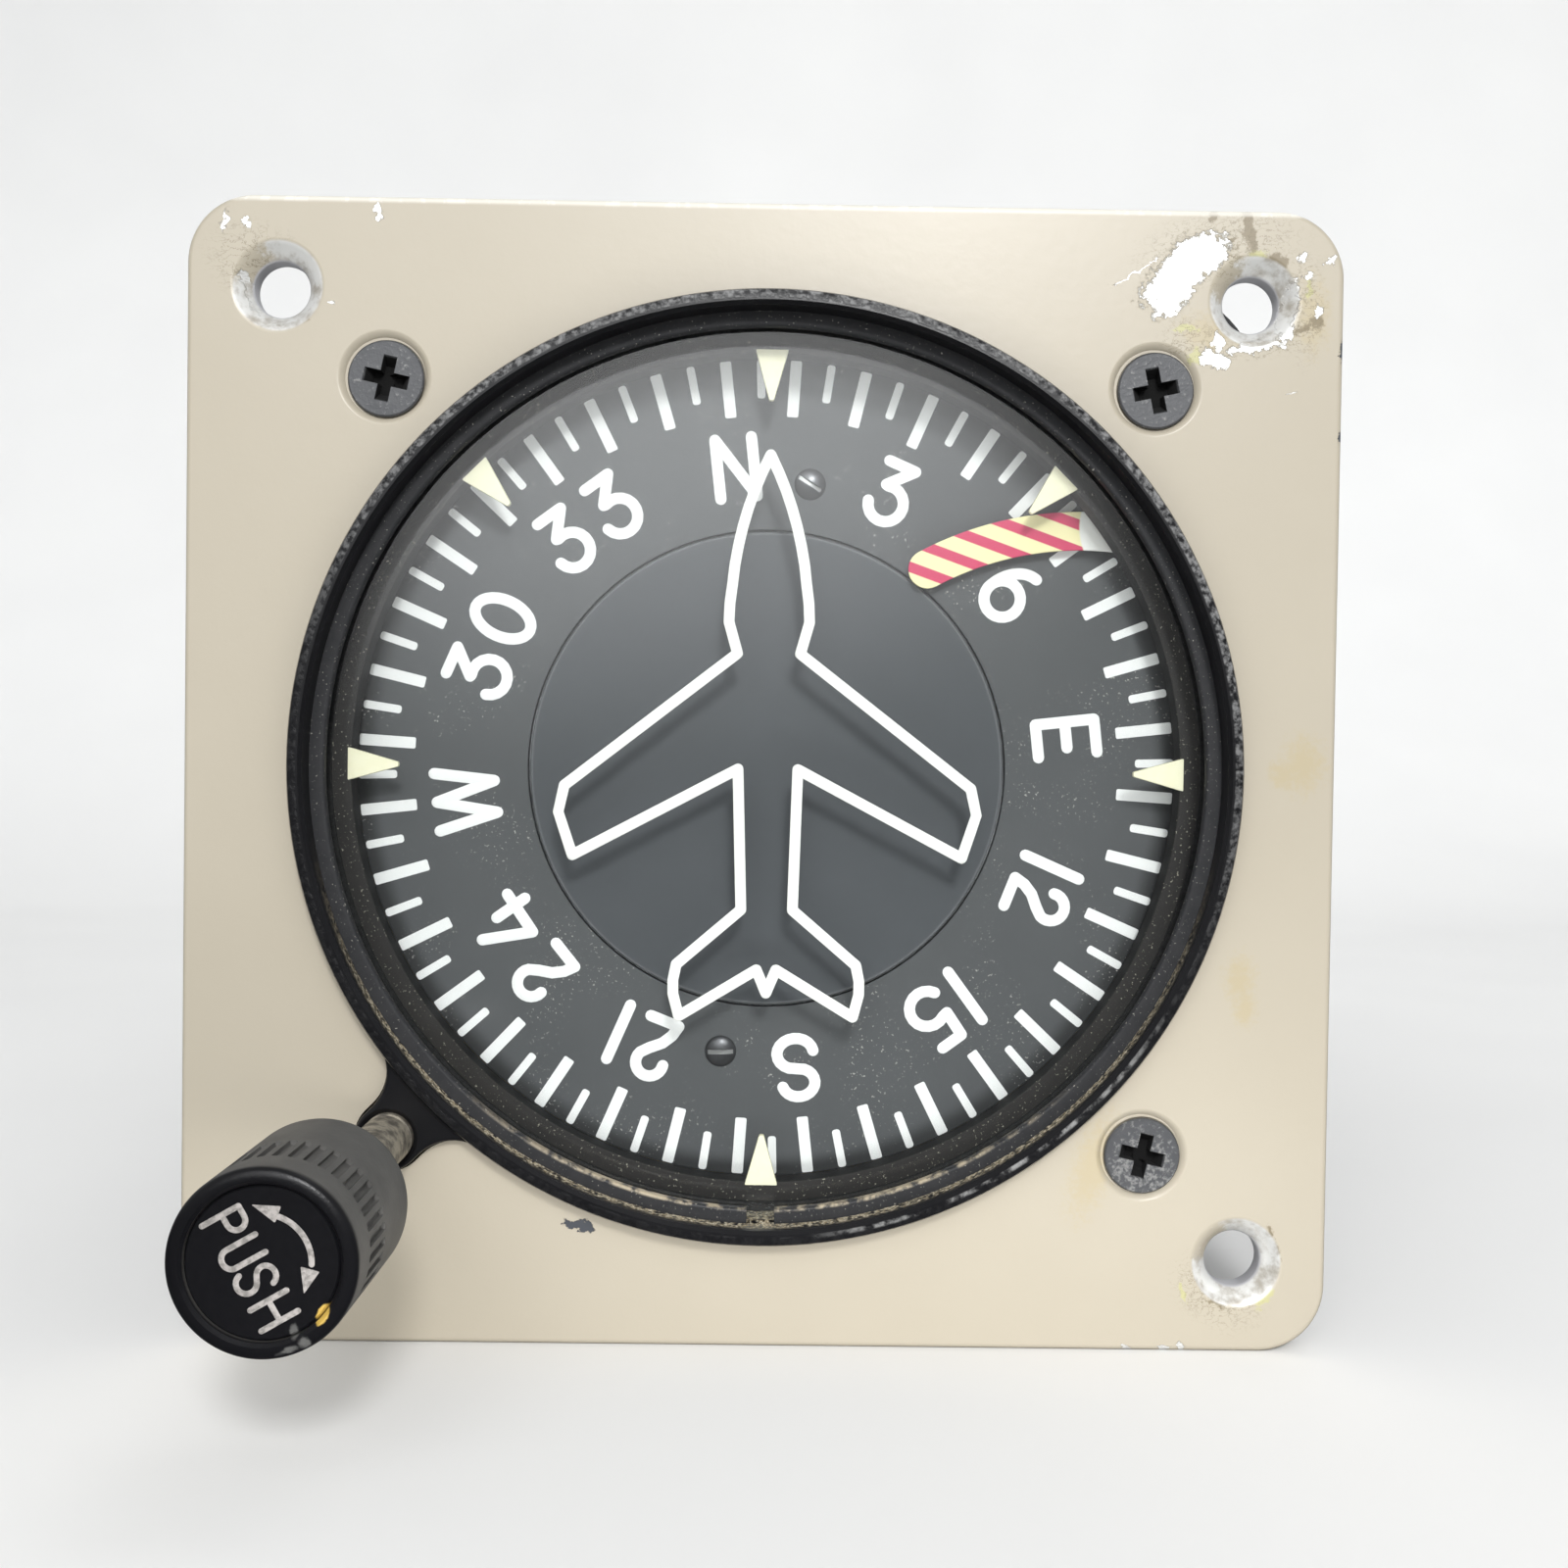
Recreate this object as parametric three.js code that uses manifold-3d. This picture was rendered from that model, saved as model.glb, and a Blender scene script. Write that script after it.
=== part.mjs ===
// Aircraft directional gyro for a square panel cut-out.
// Millimetres. The dial faces -Y, +Z is up and the instrument axis is the Y axis.
// The origin is on that axis, level with the front face of the mounting flange.
import * as THREE from "three";
import { mergeGeometries, mergeVertices } from "three/addons/utils/BufferGeometryUtils.js";
import Module from "manifold-3d";

// Clearances that every sub-part shares
const faceGap = 0.03;
const slipGap = 0.06;
const runningGap = 0.3;
const cutOverrun = 1;

// How finely round shapes are cut
const bigRoundSteps = 48;
const middleRoundSteps = 24;
const smallRoundSteps = 16;
const cornerSteps = 4;
const stepMargin = 0.2;

// Mounting flange
const flangeSideOverhang = 2.275;
const flangeEndOverhang = 2;
const flangeThickness = 2.4;
const flangeCornerRadius = 4.8;
const flangeEdgeChamfer = 0.3;
const flangeShiftX = -0.4;
const flangeShiftZ = -0.6;
const panelHoleEdgeDistance = 6.45;
const panelHoleRadius = 2;
const panelHoleSinkRadius = 3.05;

// Bezel rim, snap ring, glass and seal
const windowRadius = 32.7;
const rimWall = 1.2;
const rimHeight = 2;
const rimEdgeChamfer = 0.35;
const ringRecess = 2;
const ringGrooveDepth = 0.4;
const snapRingWidth = 1.4;
const snapRingThickness = 0.9;
const snapRingGap = 2;
const glassThickness = 2;
const sealThickness = 0.25;
const sealWidth = 0.6;

// Dial mask with its six fixed index marks
const maskLip = 2.15;
const maskDepth = 2;
const maskSeatWidth = 1.9;
const indexLength = 3.55;
const indexHalfWidth = 1.15;
const indexTipHalfWidth = 0.33;
const indexThickness = 0.5;
const indexDirections = [0, 45, 90, 180, 270, 315];

// Fixed aircraft outline on the back of the glass
const symbolStrokeHalfWidth = 0.34;
const symbolThickness = 0.18;
const symbolTipLimit = 0.95;
const noseReach = 23.06;
const noseHalfWidth = 2.96;
const noseShoulderHeight = 10.8;
const noseBulgeShare = 0.83;
const noseBulgeHeight = 18;
const wingRootFrontHalfWidth = 2.31;
const wingRootFront = 8.49;
const wingHalfSpan = 15.39;
const wingTipReach = 6.43;
const wingTipShares = [[0.972, 0.204], [1, 0.507], [0.932, 1]];
const wingRootRearHalfWidth = 2.2;
const tailRootHalfWidth = 1.91;
const tailRoot = 10.1;
const tailHalfSpan = 7.25;
const tailReach = 18.83;
const tailTipShares = [[0.963, 0.766], [1, 0.839], [0.886, 1]];
const tailNotchHalfWidth = 0.58;
const tailNotchTop = 14.29;
const tailConeReach = 17.6;

// Compass card, centre disc and card screws
const cardEdgeGap = 1.7;
const cardThickness = 0.8;
const centreDiscShare = 0.58;
const centreDiscStep = 0.25;
const cardScrewInset = 3.79;
const cardScrewHeadRadius = 1.19;
const cardScrewHeadHeight = 0.45;
const cardScrewShankRadius = 0.55;
const cardScrewSlotWidth = 0.3;
const cardScrewSlotDepth = 0.25;
const cardScrewDirections = [7.9, 188.5];
const carrierMargin = 2.2;
const carrierThickness = 1.2;

// Power flag and its drive
const flagGap = 0.45;
const flagThickness = 0.3;
const flagHalfWidth = 1.45;
const flagArcRadius = 24.5;
const flagPivotOutset = 0.7;
const flagPivotAngle = 56.5;
const flagArcAngle = 189.9;
const flagSpanAngle = 38.7;
const flagEyeRadius = 0.9;
const flagPivotGap = 0.5;
const flagShoulderWidth = 0.3;
const flagShoulderLength = 1;
const flagPinRadius = 0.5;
const flagMagnetRadius = 2.2;
const flagMagnetThickness = 1.6;
const flagCoilRadius = 3;
const flagCoilBoreRadius = 1;
const flagCoilGap = 0.5;

// Bezel casting behind the flange
const plateSeatWidth = 1.6;
const castingWall = 2.8;
const earWall = 1.9;
const pinionPocketGap = 0.45;

// Setting gear, pinion, push slider and knob
const settingGearTeeth = 48;
const pinionTeeth = 8;
const settingToothHeight = 0.5;
const settingToothDepth = 0.62;
const toothRootShare = 0.36;
const toothTipShare = 0.13;
const settingGearGap = 1.5;
const settingGearThickness = 1.4;
const settingGearHubRadius = 4.2;
const settingGearHoleShare = 0.62;
const settingGearHoleDirections = [0, 72, 144, 216, 288];
const tabHalfWidth = 2.4;
const tabFillet = 3.5;
const tabProud = 1;
const openingGap = 0.15;
const knobShaftRadius = 1.8;
const knobBushWall = 1.04;
const knobBushLip = 0.7;
const knobBushGap = 0.18;
const pinionPocketFloor = 4.5;
const pinionThickness = 1.6;
const yokeThickness = 1.2;
const yokeWall = 2.5;
const yokeTongueHalfWidth = 0.8;
const yokeTongueReach = 0.7;
const meshGap = 0.2;
const springMeanRadius = 3;
const springWireRadius = 0.35;
const springCoils = 6;
const springStepsPerCoil = 8;
const springWireSides = 6;
const springLength = 11.5;
const springPocketGap = 0.8;
const shaftGuideEntry = 0.8;
const knobStandoff = 16.3;
const knobLength = 12.4;
const knobRadius = 5.25;
const knobFrontBand = 2.6;
const knobKnurlBand = 3.2;
const knobKnurlCount = 32;
const knobKnurlDepth = 0.22;
const knobFrontRound = 0.5;
const knobRearRound = 1.1;
const knobRecessWall = 0.95;
const knobRecessDepth = 0.8;
const knobCapThickness = 0.45;
const knobGripDepth = 8.6;
const knobSetScrewRadius = 0.8;
const knobSetScrewInset = 0.35;
const knobSetScrewFromRear = 3;

// Flange screws
const screwOutset = 0.85;
const screwShankRadius = 1.4;
const screwHeadRadius = 2.73;
const screwHeadHeight = 1.5;
const screwHeadSetback = 0.08;
const screwBite = 5;
const crossSlotLength = 3.1;
const crossSlotWidth = 0.75;
const crossSlotDepth = 0.9;

// Front plate, card arbor and bearings
const plateGap = 0.57;
const plateThickness = 2.5;
const castingRearLip = 0.2;
const plateHubWall = 3;
const plateHubLength = 7.5;
const plateHubLipWidth = 2;
const arborRadius = 2.5;
const arborBossRadius = 5;
const cardBearingRingWidth = 3.5;
const cardBearingThickness = 2.5;

// Bevel gears between the card and the outer gimbal
const bevelTeeth = 30;
const bevelGimbalGap = 1.34;
const bevelFaceWidth = 3.5;
const bevelToothThickness = 2.1;
const bevelAddendum = 0.5;
const bevelDedendum = 0.62;
const bevelFlankSlope = 0.36;
const bevelToothSink = 0.5;
const bevelLedge = 0.5;
const bevelRimDepth = 1.5;
const bevelWebThickness = 1.4;
const bevelHubRadius = 4;
const bevelHubLength = 1.2;

// Gyro frame and outer gimbal
const frameBaseThickness = 2.4;
const frameBaseHalfWidth = 12;
const frameArmHalfWidth = 6.5;
const frameArmThickness = 3.4;
const frameArmGap = 0.9;
const frameArmOverhang = 8;
const gimbalDepth = 8;
const gimbalBar = 2;
const gimbalCrossBar = 2.2;
const gimbalPivotRadius = 1.5;
const gimbalBearingRingWidth = 2;
const gimbalSideGap = 2.6;
const gimbalEndGap = 1;
const gimbalShoulderRadius = 3.5;
const trunnionRadius = 1.2;
const trunnionBearingRingWidth = 1.5;

// Rotor and its housing
const housingRadius = 12.6;
const housingHalfLength = 9.5;
const housingWall = 1.2;
const housingEndWall = 1.5;
const rotorGap = 0.5;
const rotorHalfWidth = 5.5;
const rotorRimShare = 0.43;
const rotorWebThickness = 1.7;
const rotorShaftRadius = 1.2;
const rotorBearingRingWidth = 1.8;
const statorHalfWidth = 3;
const statorAirGap = 0.6;
const statorSleeveWall = 1.2;
const statorSleeveGap = 0.5;
const statorFlangeWidth = 3;
const statorFlangeThickness = 1;
const rotorShaftSetback = 0.2;

// Case shell, rear cover and its screws
const caseLength = 125;
const caseWall = 1.6;
const caseEarLength = 10;
const caseRearRingWidth = 5;
const caseRearRingLength = 6;
const rearCoverThickness = 3;
const rearScrewInset = 4;
const rearScrewRadius = 1.4;
const rearScrewHeadRadius = 2.6;
const rearScrewHeadHeight = 1.3;
const rearScrewLength = 7;
const rearScrewDirections = [60, 180, 300];

// Connector on the rear cover
const connectorRadius = 9.5;
const connectorWall = 1.1;
const connectorLength = 15;
const connectorFlangeWidth = 3;
const connectorFlangeThickness = 1.6;
const connectorSeatWidth = 1;
const insertThickness = 5;
const insertGap = 0.1;
const pinRadius = 0.8;
const pinCircleRadius = 5.4;
const pinReach = 5.5;
const pinTail = 3;
const pinDirections = [0, 120, 240];

// Inverter board on its standoffs
const boardEdgeGap = 7.4;
const boardThickness = 1.6;
const standoffLength = 26;
const standoffRadius = 2.2;
const standoffInset = 5;
const standoffDirections = [0, 120, 240];
const transformerWidth = 22;
const transformerHeight = 18;
const transformerLength = 16;
const transformerLift = 7;
const transformerCornerCut = 2;
const capacitorRadius = 5;
const capacitorLength = 18;
const capacitorX = -12;
const capacitorZ = -14;
const capacitorEdge = 0.6;

// The gimbal clears the tilting housing, and the bevel gears' teeth clear the gimbal
const gimbalInnerHalfWidth = housingRadius + gimbalSideGap;
const gimbalHalfWidth = gimbalInnerHalfWidth + gimbalBar;
const gimbalInnerHalfHeight = Math.hypot(housingRadius, housingHalfLength) + gimbalEndGap;
const gimbalHalfHeight = gimbalInnerHalfHeight + gimbalCrossBar;
const bevelPitchRadius = Math.hypot(gimbalHalfWidth, gimbalDepth / 2) + bevelGimbalGap + bevelFaceWidth;
const bevelBackReach = bevelPitchRadius + (bevelDedendum + bevelRimDepth) * Math.SQRT1_2;

// Places along the axis, from the front to the back
const rimFront = -rimHeight;
const ringFront = rimFront + ringRecess;
const ringBack = ringFront + snapRingThickness;
const glassFront = ringBack + faceGap;
const glassBack = glassFront + glassThickness;
const sealFront = glassBack + faceGap;
const sealBack = sealFront + sealThickness;
const maskFront = sealBack + faceGap;
const maskBack = maskFront + maskDepth;
const maskSeat = maskFront - faceGap;
const flagFront = maskBack + flagGap;
const flagBack = flagFront + flagThickness;
const cardScrewFront = flagBack + runningGap;
const cardFront = cardScrewFront + cardScrewHeadHeight;
const cardBack = cardFront + cardThickness;
const carrierFront = cardBack + faceGap;
const carrierBack = carrierFront + carrierThickness;
const settingGearFront = carrierBack + settingGearGap;
const settingGearBack = settingGearFront + settingGearThickness;
const plateFront = settingGearBack + plateGap;
const plateBack = plateFront + plateThickness;
const castingFront = flangeThickness + faceGap;
const castingBack = plateBack + castingRearLip;
const plateSeat = plateFront - faceGap;
const plateHubBack = plateFront + plateHubLength;
const cardGearHubFront = plateHubBack + runningGap;
const cardGearFront = cardGearHubFront + bevelHubLength;
const gyroCentre = cardGearFront + bevelBackReach;
const arborBack = cardGearFront + bevelWebThickness + faceGap;
const caseFront = castingBack + faceGap;
const caseBack = caseFront + caseLength;
const caseEarBack = caseFront + caseEarLength;
const coverFront = caseBack + faceGap;
const coverBack = coverFront + rearCoverThickness;

// Places along the knob's own axis
const knobFront = -knobStandoff - knobLength;
const knobRear = -knobStandoff;
const knobRecessFloor = knobFront + knobRecessDepth;
const knobBoreEnd = knobRear - knobGripDepth;
const knobBushBack = pinionPocketFloor + knobBushLip;
const pinionFront = knobBushBack + runningGap;
const pinionBack = pinionFront + pinionThickness;
const yokeFront = pinionBack + runningGap;
const yokeBack = yokeFront + yokeThickness;
const springBack = yokeBack + faceGap + springLength;
const springPocketFloor = springBack + faceGap;
const pushTravel = settingGearFront - pinionBack - meshGap;
const shaftBack = springPocketFloor + shaftGuideEntry;
const shaftGuideFloor = shaftBack + pushTravel + runningGap;

// Radii that follow from the window
const bezelRadius = windowRadius + rimWall;
const ringGrooveRadius = windowRadius + ringGrooveDepth;
const glassRadius = windowRadius - openingGap;
const maskInnerRadius = windowRadius - maskLip;
const chamberRadius = windowRadius + maskSeatWidth;
const maskRadius = chamberRadius - slipGap;
const cardRadius = windowRadius - cardEdgeGap;
const centreDiscRadius = cardRadius * centreDiscShare;
const cardScrewCircle = centreDiscRadius + cardScrewInset;
const carrierRadius = cardScrewCircle + carrierMargin;
const plateSeatRadius = chamberRadius + plateSeatWidth;
const plateRadius = plateSeatRadius - slipGap;
const castingRadius = plateSeatRadius + castingWall;
const caseInnerRadius = castingRadius - caseWall;

// The knob stands just outside the chamber, and the distance between the axes sizes both spur gears
const knobBushRadius = knobShaftRadius + slipGap + knobBushWall;
const knobAxisDistance = chamberRadius + knobBushGap + knobBushRadius;
const knobAxis = -knobAxisDistance * Math.SQRT1_2;
const settingModule = (2 * knobAxisDistance) / (settingGearTeeth + pinionTeeth);
const settingPitchRadius = (settingModule * settingGearTeeth) / 2;
const pinionPitchRadius = (settingModule * pinionTeeth) / 2;
const pinionTipRadius = pinionPitchRadius + settingToothHeight;
const pinionPocketRadius = pinionTipRadius + pinionPocketGap;
const earRadius = pinionPocketRadius + earWall;
const flangeScrewOffset = -knobAxis + screwOutset;
const flangeScrewPlaces = [
  [-flangeScrewOffset, flangeScrewOffset],
  [flangeScrewOffset, flangeScrewOffset],
  [flangeScrewOffset, -flangeScrewOffset],
];
const earPlaces = [...flangeScrewPlaces, [knobAxis, knobAxis]];

// The flange stands out past the casting on every side
const flangeWidth = 2 * (castingRadius + flangeSideOverhang);
const flangeHeight = 2 * (castingRadius + flangeEndOverhang);
const panelHoleX = flangeWidth / 2 - panelHoleEdgeDistance;
const panelHoleZ = flangeHeight / 2 - panelHoleEdgeDistance;
const panelHolePlaces = [
  [flangeShiftX - panelHoleX, flangeShiftZ + panelHoleZ],
  [flangeShiftX + panelHoleX, flangeShiftZ + panelHoleZ],
  [flangeShiftX + panelHoleX, flangeShiftZ - panelHoleZ],
];

// Radii of the small bearings, bushes and pockets
const connectorInnerRadius = connectorRadius - connectorWall;
const yokeRadius = knobShaftRadius + slipGap + yokeWall;
const yokeTongueRadius = pinionPocketRadius + yokeTongueReach;
const springPocketRadius = springMeanRadius + springWireRadius + springPocketGap;
const cardBearingRadius = arborRadius + slipGap + cardBearingRingWidth;
const plateHubRadius = cardBearingRadius + plateHubWall;
const gimbalBearingRadius = gimbalPivotRadius + slipGap + gimbalBearingRingWidth;
const trunnionBearingRadius = trunnionRadius + slipGap + trunnionBearingRingWidth;
const rotorBearingRadius = rotorShaftRadius + slipGap + rotorBearingRingWidth;

// The frame clears both bevel gears
const frameTop = bevelPitchRadius + bevelAddendum * Math.SQRT1_2 + frameArmGap;
const frameTopOuter = frameTop + frameArmThickness;
const frameBottom = bevelBackReach + bevelHubLength + runningGap;
const frameBottomOuter = frameBottom + frameArmThickness;
const housingInnerRadius = housingRadius - housingWall;
const rotorRadius = housingInnerRadius - rotorGap;
const rotorInnerRadius = rotorRadius * (1 - rotorRimShare);
const flagPivotRadius = chamberRadius - flagPinRadius - flagPivotGap;
const boardRadius = caseInnerRadius - boardEdgeGap;
const boardBack = coverFront - faceGap - standoffLength;
const boardFront = boardBack - faceGap - boardThickness;
const rearScrewPlaces = rearScrewDirections.map((direction) => {
  return onDial(castingRadius - rearScrewInset, direction);
});

// Finishes
const finishes = {
  flangePaint: finish(0xcfc7b4, 0.55, 0),
  blackPaint: finish(0x1c1d1f, 0.5, 0.1),
  springSteel: finish(0x2a2b2d, 0.35, 0.8),
  clearGlass: finish(0xdde6e8, 0.05, 0),
  sealRubber: finish(0x141414, 0.9, 0),
  dialPaint: finish(0x4a4d50, 0.8, 0),
  markPaint: finish(0xf4f2e4, 0.6, 0),
  flagPaint: finish(0xd8566e, 0.6, 0),
  brightSteel: finish(0xb8babc, 0.3, 1),
  darkSteel: finish(0x55585c, 0.4, 0.9),
  aluminium: finish(0xb9bcc0, 0.4, 0.9),
  brass: finish(0xb8954a, 0.35, 1),
  blackPlastic: finish(0x161617, 0.3, 0),
  insulator: finish(0x7a3b22, 0.5, 0),
  boardGreen: finish(0x2f6b45, 0.5, 0),
  copper: finish(0xa8623a, 0.4, 0.9),
  casePaint: finish(0x26282a, 0.6, 0.1),
};

function finish(color, roughness, metalness) {
  return new THREE.MeshStandardMaterial({ color, roughness, metalness });
}

// Booleans
const wasm = await Module();
wasm.setup();

function solidOf(geometry) {
  const bare = geometry.clone();
  bare.deleteAttribute("normal");
  bare.deleteAttribute("uv");
  const merged = mergeVertices(bare);
  const index = merged.index.array;
  const corners = [];
  for (let i = 0; i < index.length; i += 3) {
    const [a, b, c] = index.slice(i, i + 3);
    if (a !== b && b !== c && c !== a) corners.push(a, b, c);
  }
  const vertProperties = merged.attributes.position.array;
  const triVerts = new Uint32Array(corners);
  return new wasm.Manifold(new wasm.Mesh({ numProp: 3, vertProperties, triVerts }));
}

function geometryOf(solid) {
  const mesh = solid.getMesh();
  const geometry = new THREE.BufferGeometry();
  geometry.setAttribute("position", new THREE.BufferAttribute(mesh.vertProperties, 3));
  geometry.setIndex(new THREE.BufferAttribute(mesh.triVerts, 1));
  return geometry;
}

function cut(geometry, ...tools) {
  let solid = solidOf(geometry);
  for (const tool of tools) solid = solid.subtract(solidOf(tool));
  return geometryOf(solid);
}

function join(...geometries) {
  let solid = solidOf(geometries[0]);
  for (const other of geometries.slice(1)) solid = solid.add(solidOf(other));
  return geometryOf(solid);
}

// Shapes along the instrument axis
function turned(profile, steps) {
  let area = 0;
  profile.forEach(([r, y], i) => {
    const [nextR, nextY] = profile[(i + 1) % profile.length];
    area += r * nextY - nextR * y;
  });
  const ordered = area < 0 ? [...profile].reverse() : profile;
  const points = ordered.map(([r, y]) => new THREE.Vector2(r, y));
  points.push(points[0].clone());
  return new THREE.LatheGeometry(points, steps);
}

function ring(innerRadius, outerRadius, front, back, steps) {
  const profile = [[innerRadius, front], [outerRadius, front], [outerRadius, back], [innerRadius, back]];
  return turned(profile, steps);
}

function rod(radius, front, back, x = 0, z = 0, steps = smallRoundSteps) {
  const geometry = new THREE.CylinderGeometry(radius, radius, back - front, steps);
  return geometry.translate(x, (front + back) / 2, z);
}

function plate(shape, front, back, steps = cornerSteps) {
  const options = { depth: back - front, bevelEnabled: false, curveSegments: steps };
  const geometry = new THREE.ExtrudeGeometry(shape, options);
  return geometry.rotateX(Math.PI / 2).translate(0, back, 0);
}

function block(width, front, back, height, x, z) {
  return new THREE.BoxGeometry(width, back - front, height).translate(x, (front + back) / 2, z);
}

// A place on a circle about the axis, with the direction clockwise from the top as seen from the front
function onDial(radius, direction) {
  const angle = THREE.MathUtils.degToRad(direction);
  return [radius * Math.sin(angle), radius * Math.cos(angle)];
}

function shapeOf(points) {
  return new THREE.Shape(points.map(([x, y]) => new THREE.Vector2(x, y)));
}

function circleShape(radius, x = 0, y = 0) {
  const shape = new THREE.Shape();
  shape.absarc(x, y, radius, 0, 2 * Math.PI, false);
  return shape;
}

function roundedRectangle(width, height, radius, x = 0, y = 0) {
  const shape = new THREE.Shape();
  const [halfX, halfY] = [width / 2 - radius, height / 2 - radius];
  shape.absarc(x + halfX, y - halfY, radius, -Math.PI / 2, 0, false);
  shape.absarc(x + halfX, y + halfY, radius, 0, Math.PI / 2, false);
  shape.absarc(x - halfX, y + halfY, radius, Math.PI / 2, Math.PI, false);
  shape.absarc(x - halfX, y - halfY, radius, Math.PI, 1.5 * Math.PI, false);
  return shape;
}

const gyro = new THREE.Group();

function add(name, geometry, material, group = gyro) {
  const mesh = new THREE.Mesh(geometry, material);
  mesh.name = name;
  group.add(mesh);
}

// The bezel seen from the front: a circle with one tab that reaches the knob shaft, filleted into it.
// The tab points to the lower left, and a margin gives the opening round it.
function bezelOutline(margin) {
  const circle = bezelRadius + margin;
  const half = tabHalfWidth + margin;
  const fillet = tabFillet - margin;
  const along = Math.sqrt((circle + fillet) ** 2 - (half + fillet) ** 2);
  const filletAngle = Math.atan2(half + fillet, along);
  const tabAngle = 1.25 * Math.PI;
  const place = (along, across) => [
    along * Math.cos(tabAngle) - across * Math.sin(tabAngle),
    along * Math.sin(tabAngle) + across * Math.cos(tabAngle),
  ];
  const quarter = Math.PI / 2;
  const [before, after] = [tabAngle - filletAngle, tabAngle + filletAngle];
  const [firstX, firstZ] = place(along, -half - fillet);
  const [tabX, tabZ] = place(knobAxisDistance, 0);
  const [lastX, lastZ] = place(along, half + fillet);
  return shapeOf([
    ...arcPoints(0, 0, circle, after, before + 4 * quarter),
    ...arcPoints(firstX, firstZ, fillet, before + 2 * quarter, tabAngle + quarter),
    ...arcPoints(tabX, tabZ, half, tabAngle - quarter, tabAngle + quarter),
    ...arcPoints(lastX, lastZ, fillet, tabAngle - quarter, after - 2 * quarter),
  ]);
}

// Points along an arc, at whole steps of its circle, so that shapes on the same circle share them
function arcPoints(x, y, radius, start, end) {
  const step = (2 * Math.PI) / (radius > knobRadius ? bigRoundSteps : smallRoundSteps);
  const sign = Math.sign(end - start);
  const first = Math.ceil((sign * start) / step + stepMargin);
  const last = Math.floor((sign * end) / step - stepMargin);
  const angles = [start];
  for (let i = first; i <= last; i += 1) angles.push(sign * i * step);
  angles.push(end);
  return angles.map((angle) => [x + radius * Math.cos(angle), y + radius * Math.sin(angle)]);
}

// The body outline behind the flange: a circle with four ears
function bodyWithEars(front, back) {
  const ears = earPlaces.map(([x, z]) => rod(earRadius, front, back, x, z, middleRoundSteps));
  return join(rod(castingRadius, front, back, 0, 0, bigRoundSteps), ...ears);
}

function mountingFlange() {
  const width = flangeWidth - 2 * flangeEdgeChamfer;
  const height = flangeHeight - 2 * flangeEdgeChamfer;
  const corner = flangeCornerRadius - flangeEdgeChamfer;
  const outline = roundedRectangle(width, height, corner, flangeShiftX, flangeShiftZ);
  const blank = new THREE.ExtrudeGeometry(outline, {
    depth: flangeThickness - 2 * flangeEdgeChamfer,
    bevelEnabled: true,
    bevelThickness: flangeEdgeChamfer,
    bevelSize: flangeEdgeChamfer,
    bevelSegments: 1,
    curveSegments: cornerSteps,
  });
  blank.rotateX(Math.PI / 2).translate(0, flangeThickness - flangeEdgeChamfer, 0);
  const mouth = -cutOverrun;
  const end = flangeThickness + cutOverrun;
  const tools = [plate(bezelOutline(openingGap), mouth, end)];
  const sinkDepth = panelHoleSinkRadius - panelHoleRadius;
  for (const [x, z] of panelHolePlaces) {
    const hole = countersunk(panelHoleRadius, panelHoleSinkRadius, 0, sinkDepth, end, mouth);
    tools.push(hole.translate(x, 0, z));
  }
  const headBack = screwHeadSetback + screwHeadHeight;
  const shankRadius = screwShankRadius + slipGap;
  const headRadius = screwHeadRadius + slipGap;
  for (const [x, z] of flangeScrewPlaces) {
    const seat = countersunk(shankRadius, headRadius, screwHeadSetback, headBack, end, mouth);
    tools.push(seat.translate(x, 0, z));
  }
  add("mounting_flange", cut(blank, ...tools), finishes.flangePaint);
}

// A countersunk screw, from the face of its head to its end. A cutting tool has a mouth before the face.
function countersunk(shankRadius, headRadius, face, headEnd, end, mouth) {
  const front = mouth === undefined ? [[0, face]] : [[0, mouth], [headRadius, mouth]];
  const profile = [...front, [headRadius, face], [shankRadius, headEnd], [shankRadius, end], [0, end]];
  return turned(profile, smallRoundSteps);
}

function flangeScrews() {
  const headBack = screwHeadSetback + screwHeadHeight;
  const slotBack = screwHeadSetback + crossSlotDepth;
  flangeScrewPlaces.forEach(([x, z], i) => {
    const end = caseFront + screwBite;
    const blank = countersunk(screwShankRadius, screwHeadRadius, screwHeadSetback, headBack, end);
    const slots = [
      block(crossSlotLength, -cutOverrun, slotBack, crossSlotWidth, 0, 0),
      block(crossSlotWidth, -cutOverrun, slotBack, crossSlotLength, 0, 0),
    ];
    add(`flange_screw_${i + 1}`, cut(blank, ...slots).translate(x, 0, z), finishes.darkSteel);
  });
}

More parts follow.
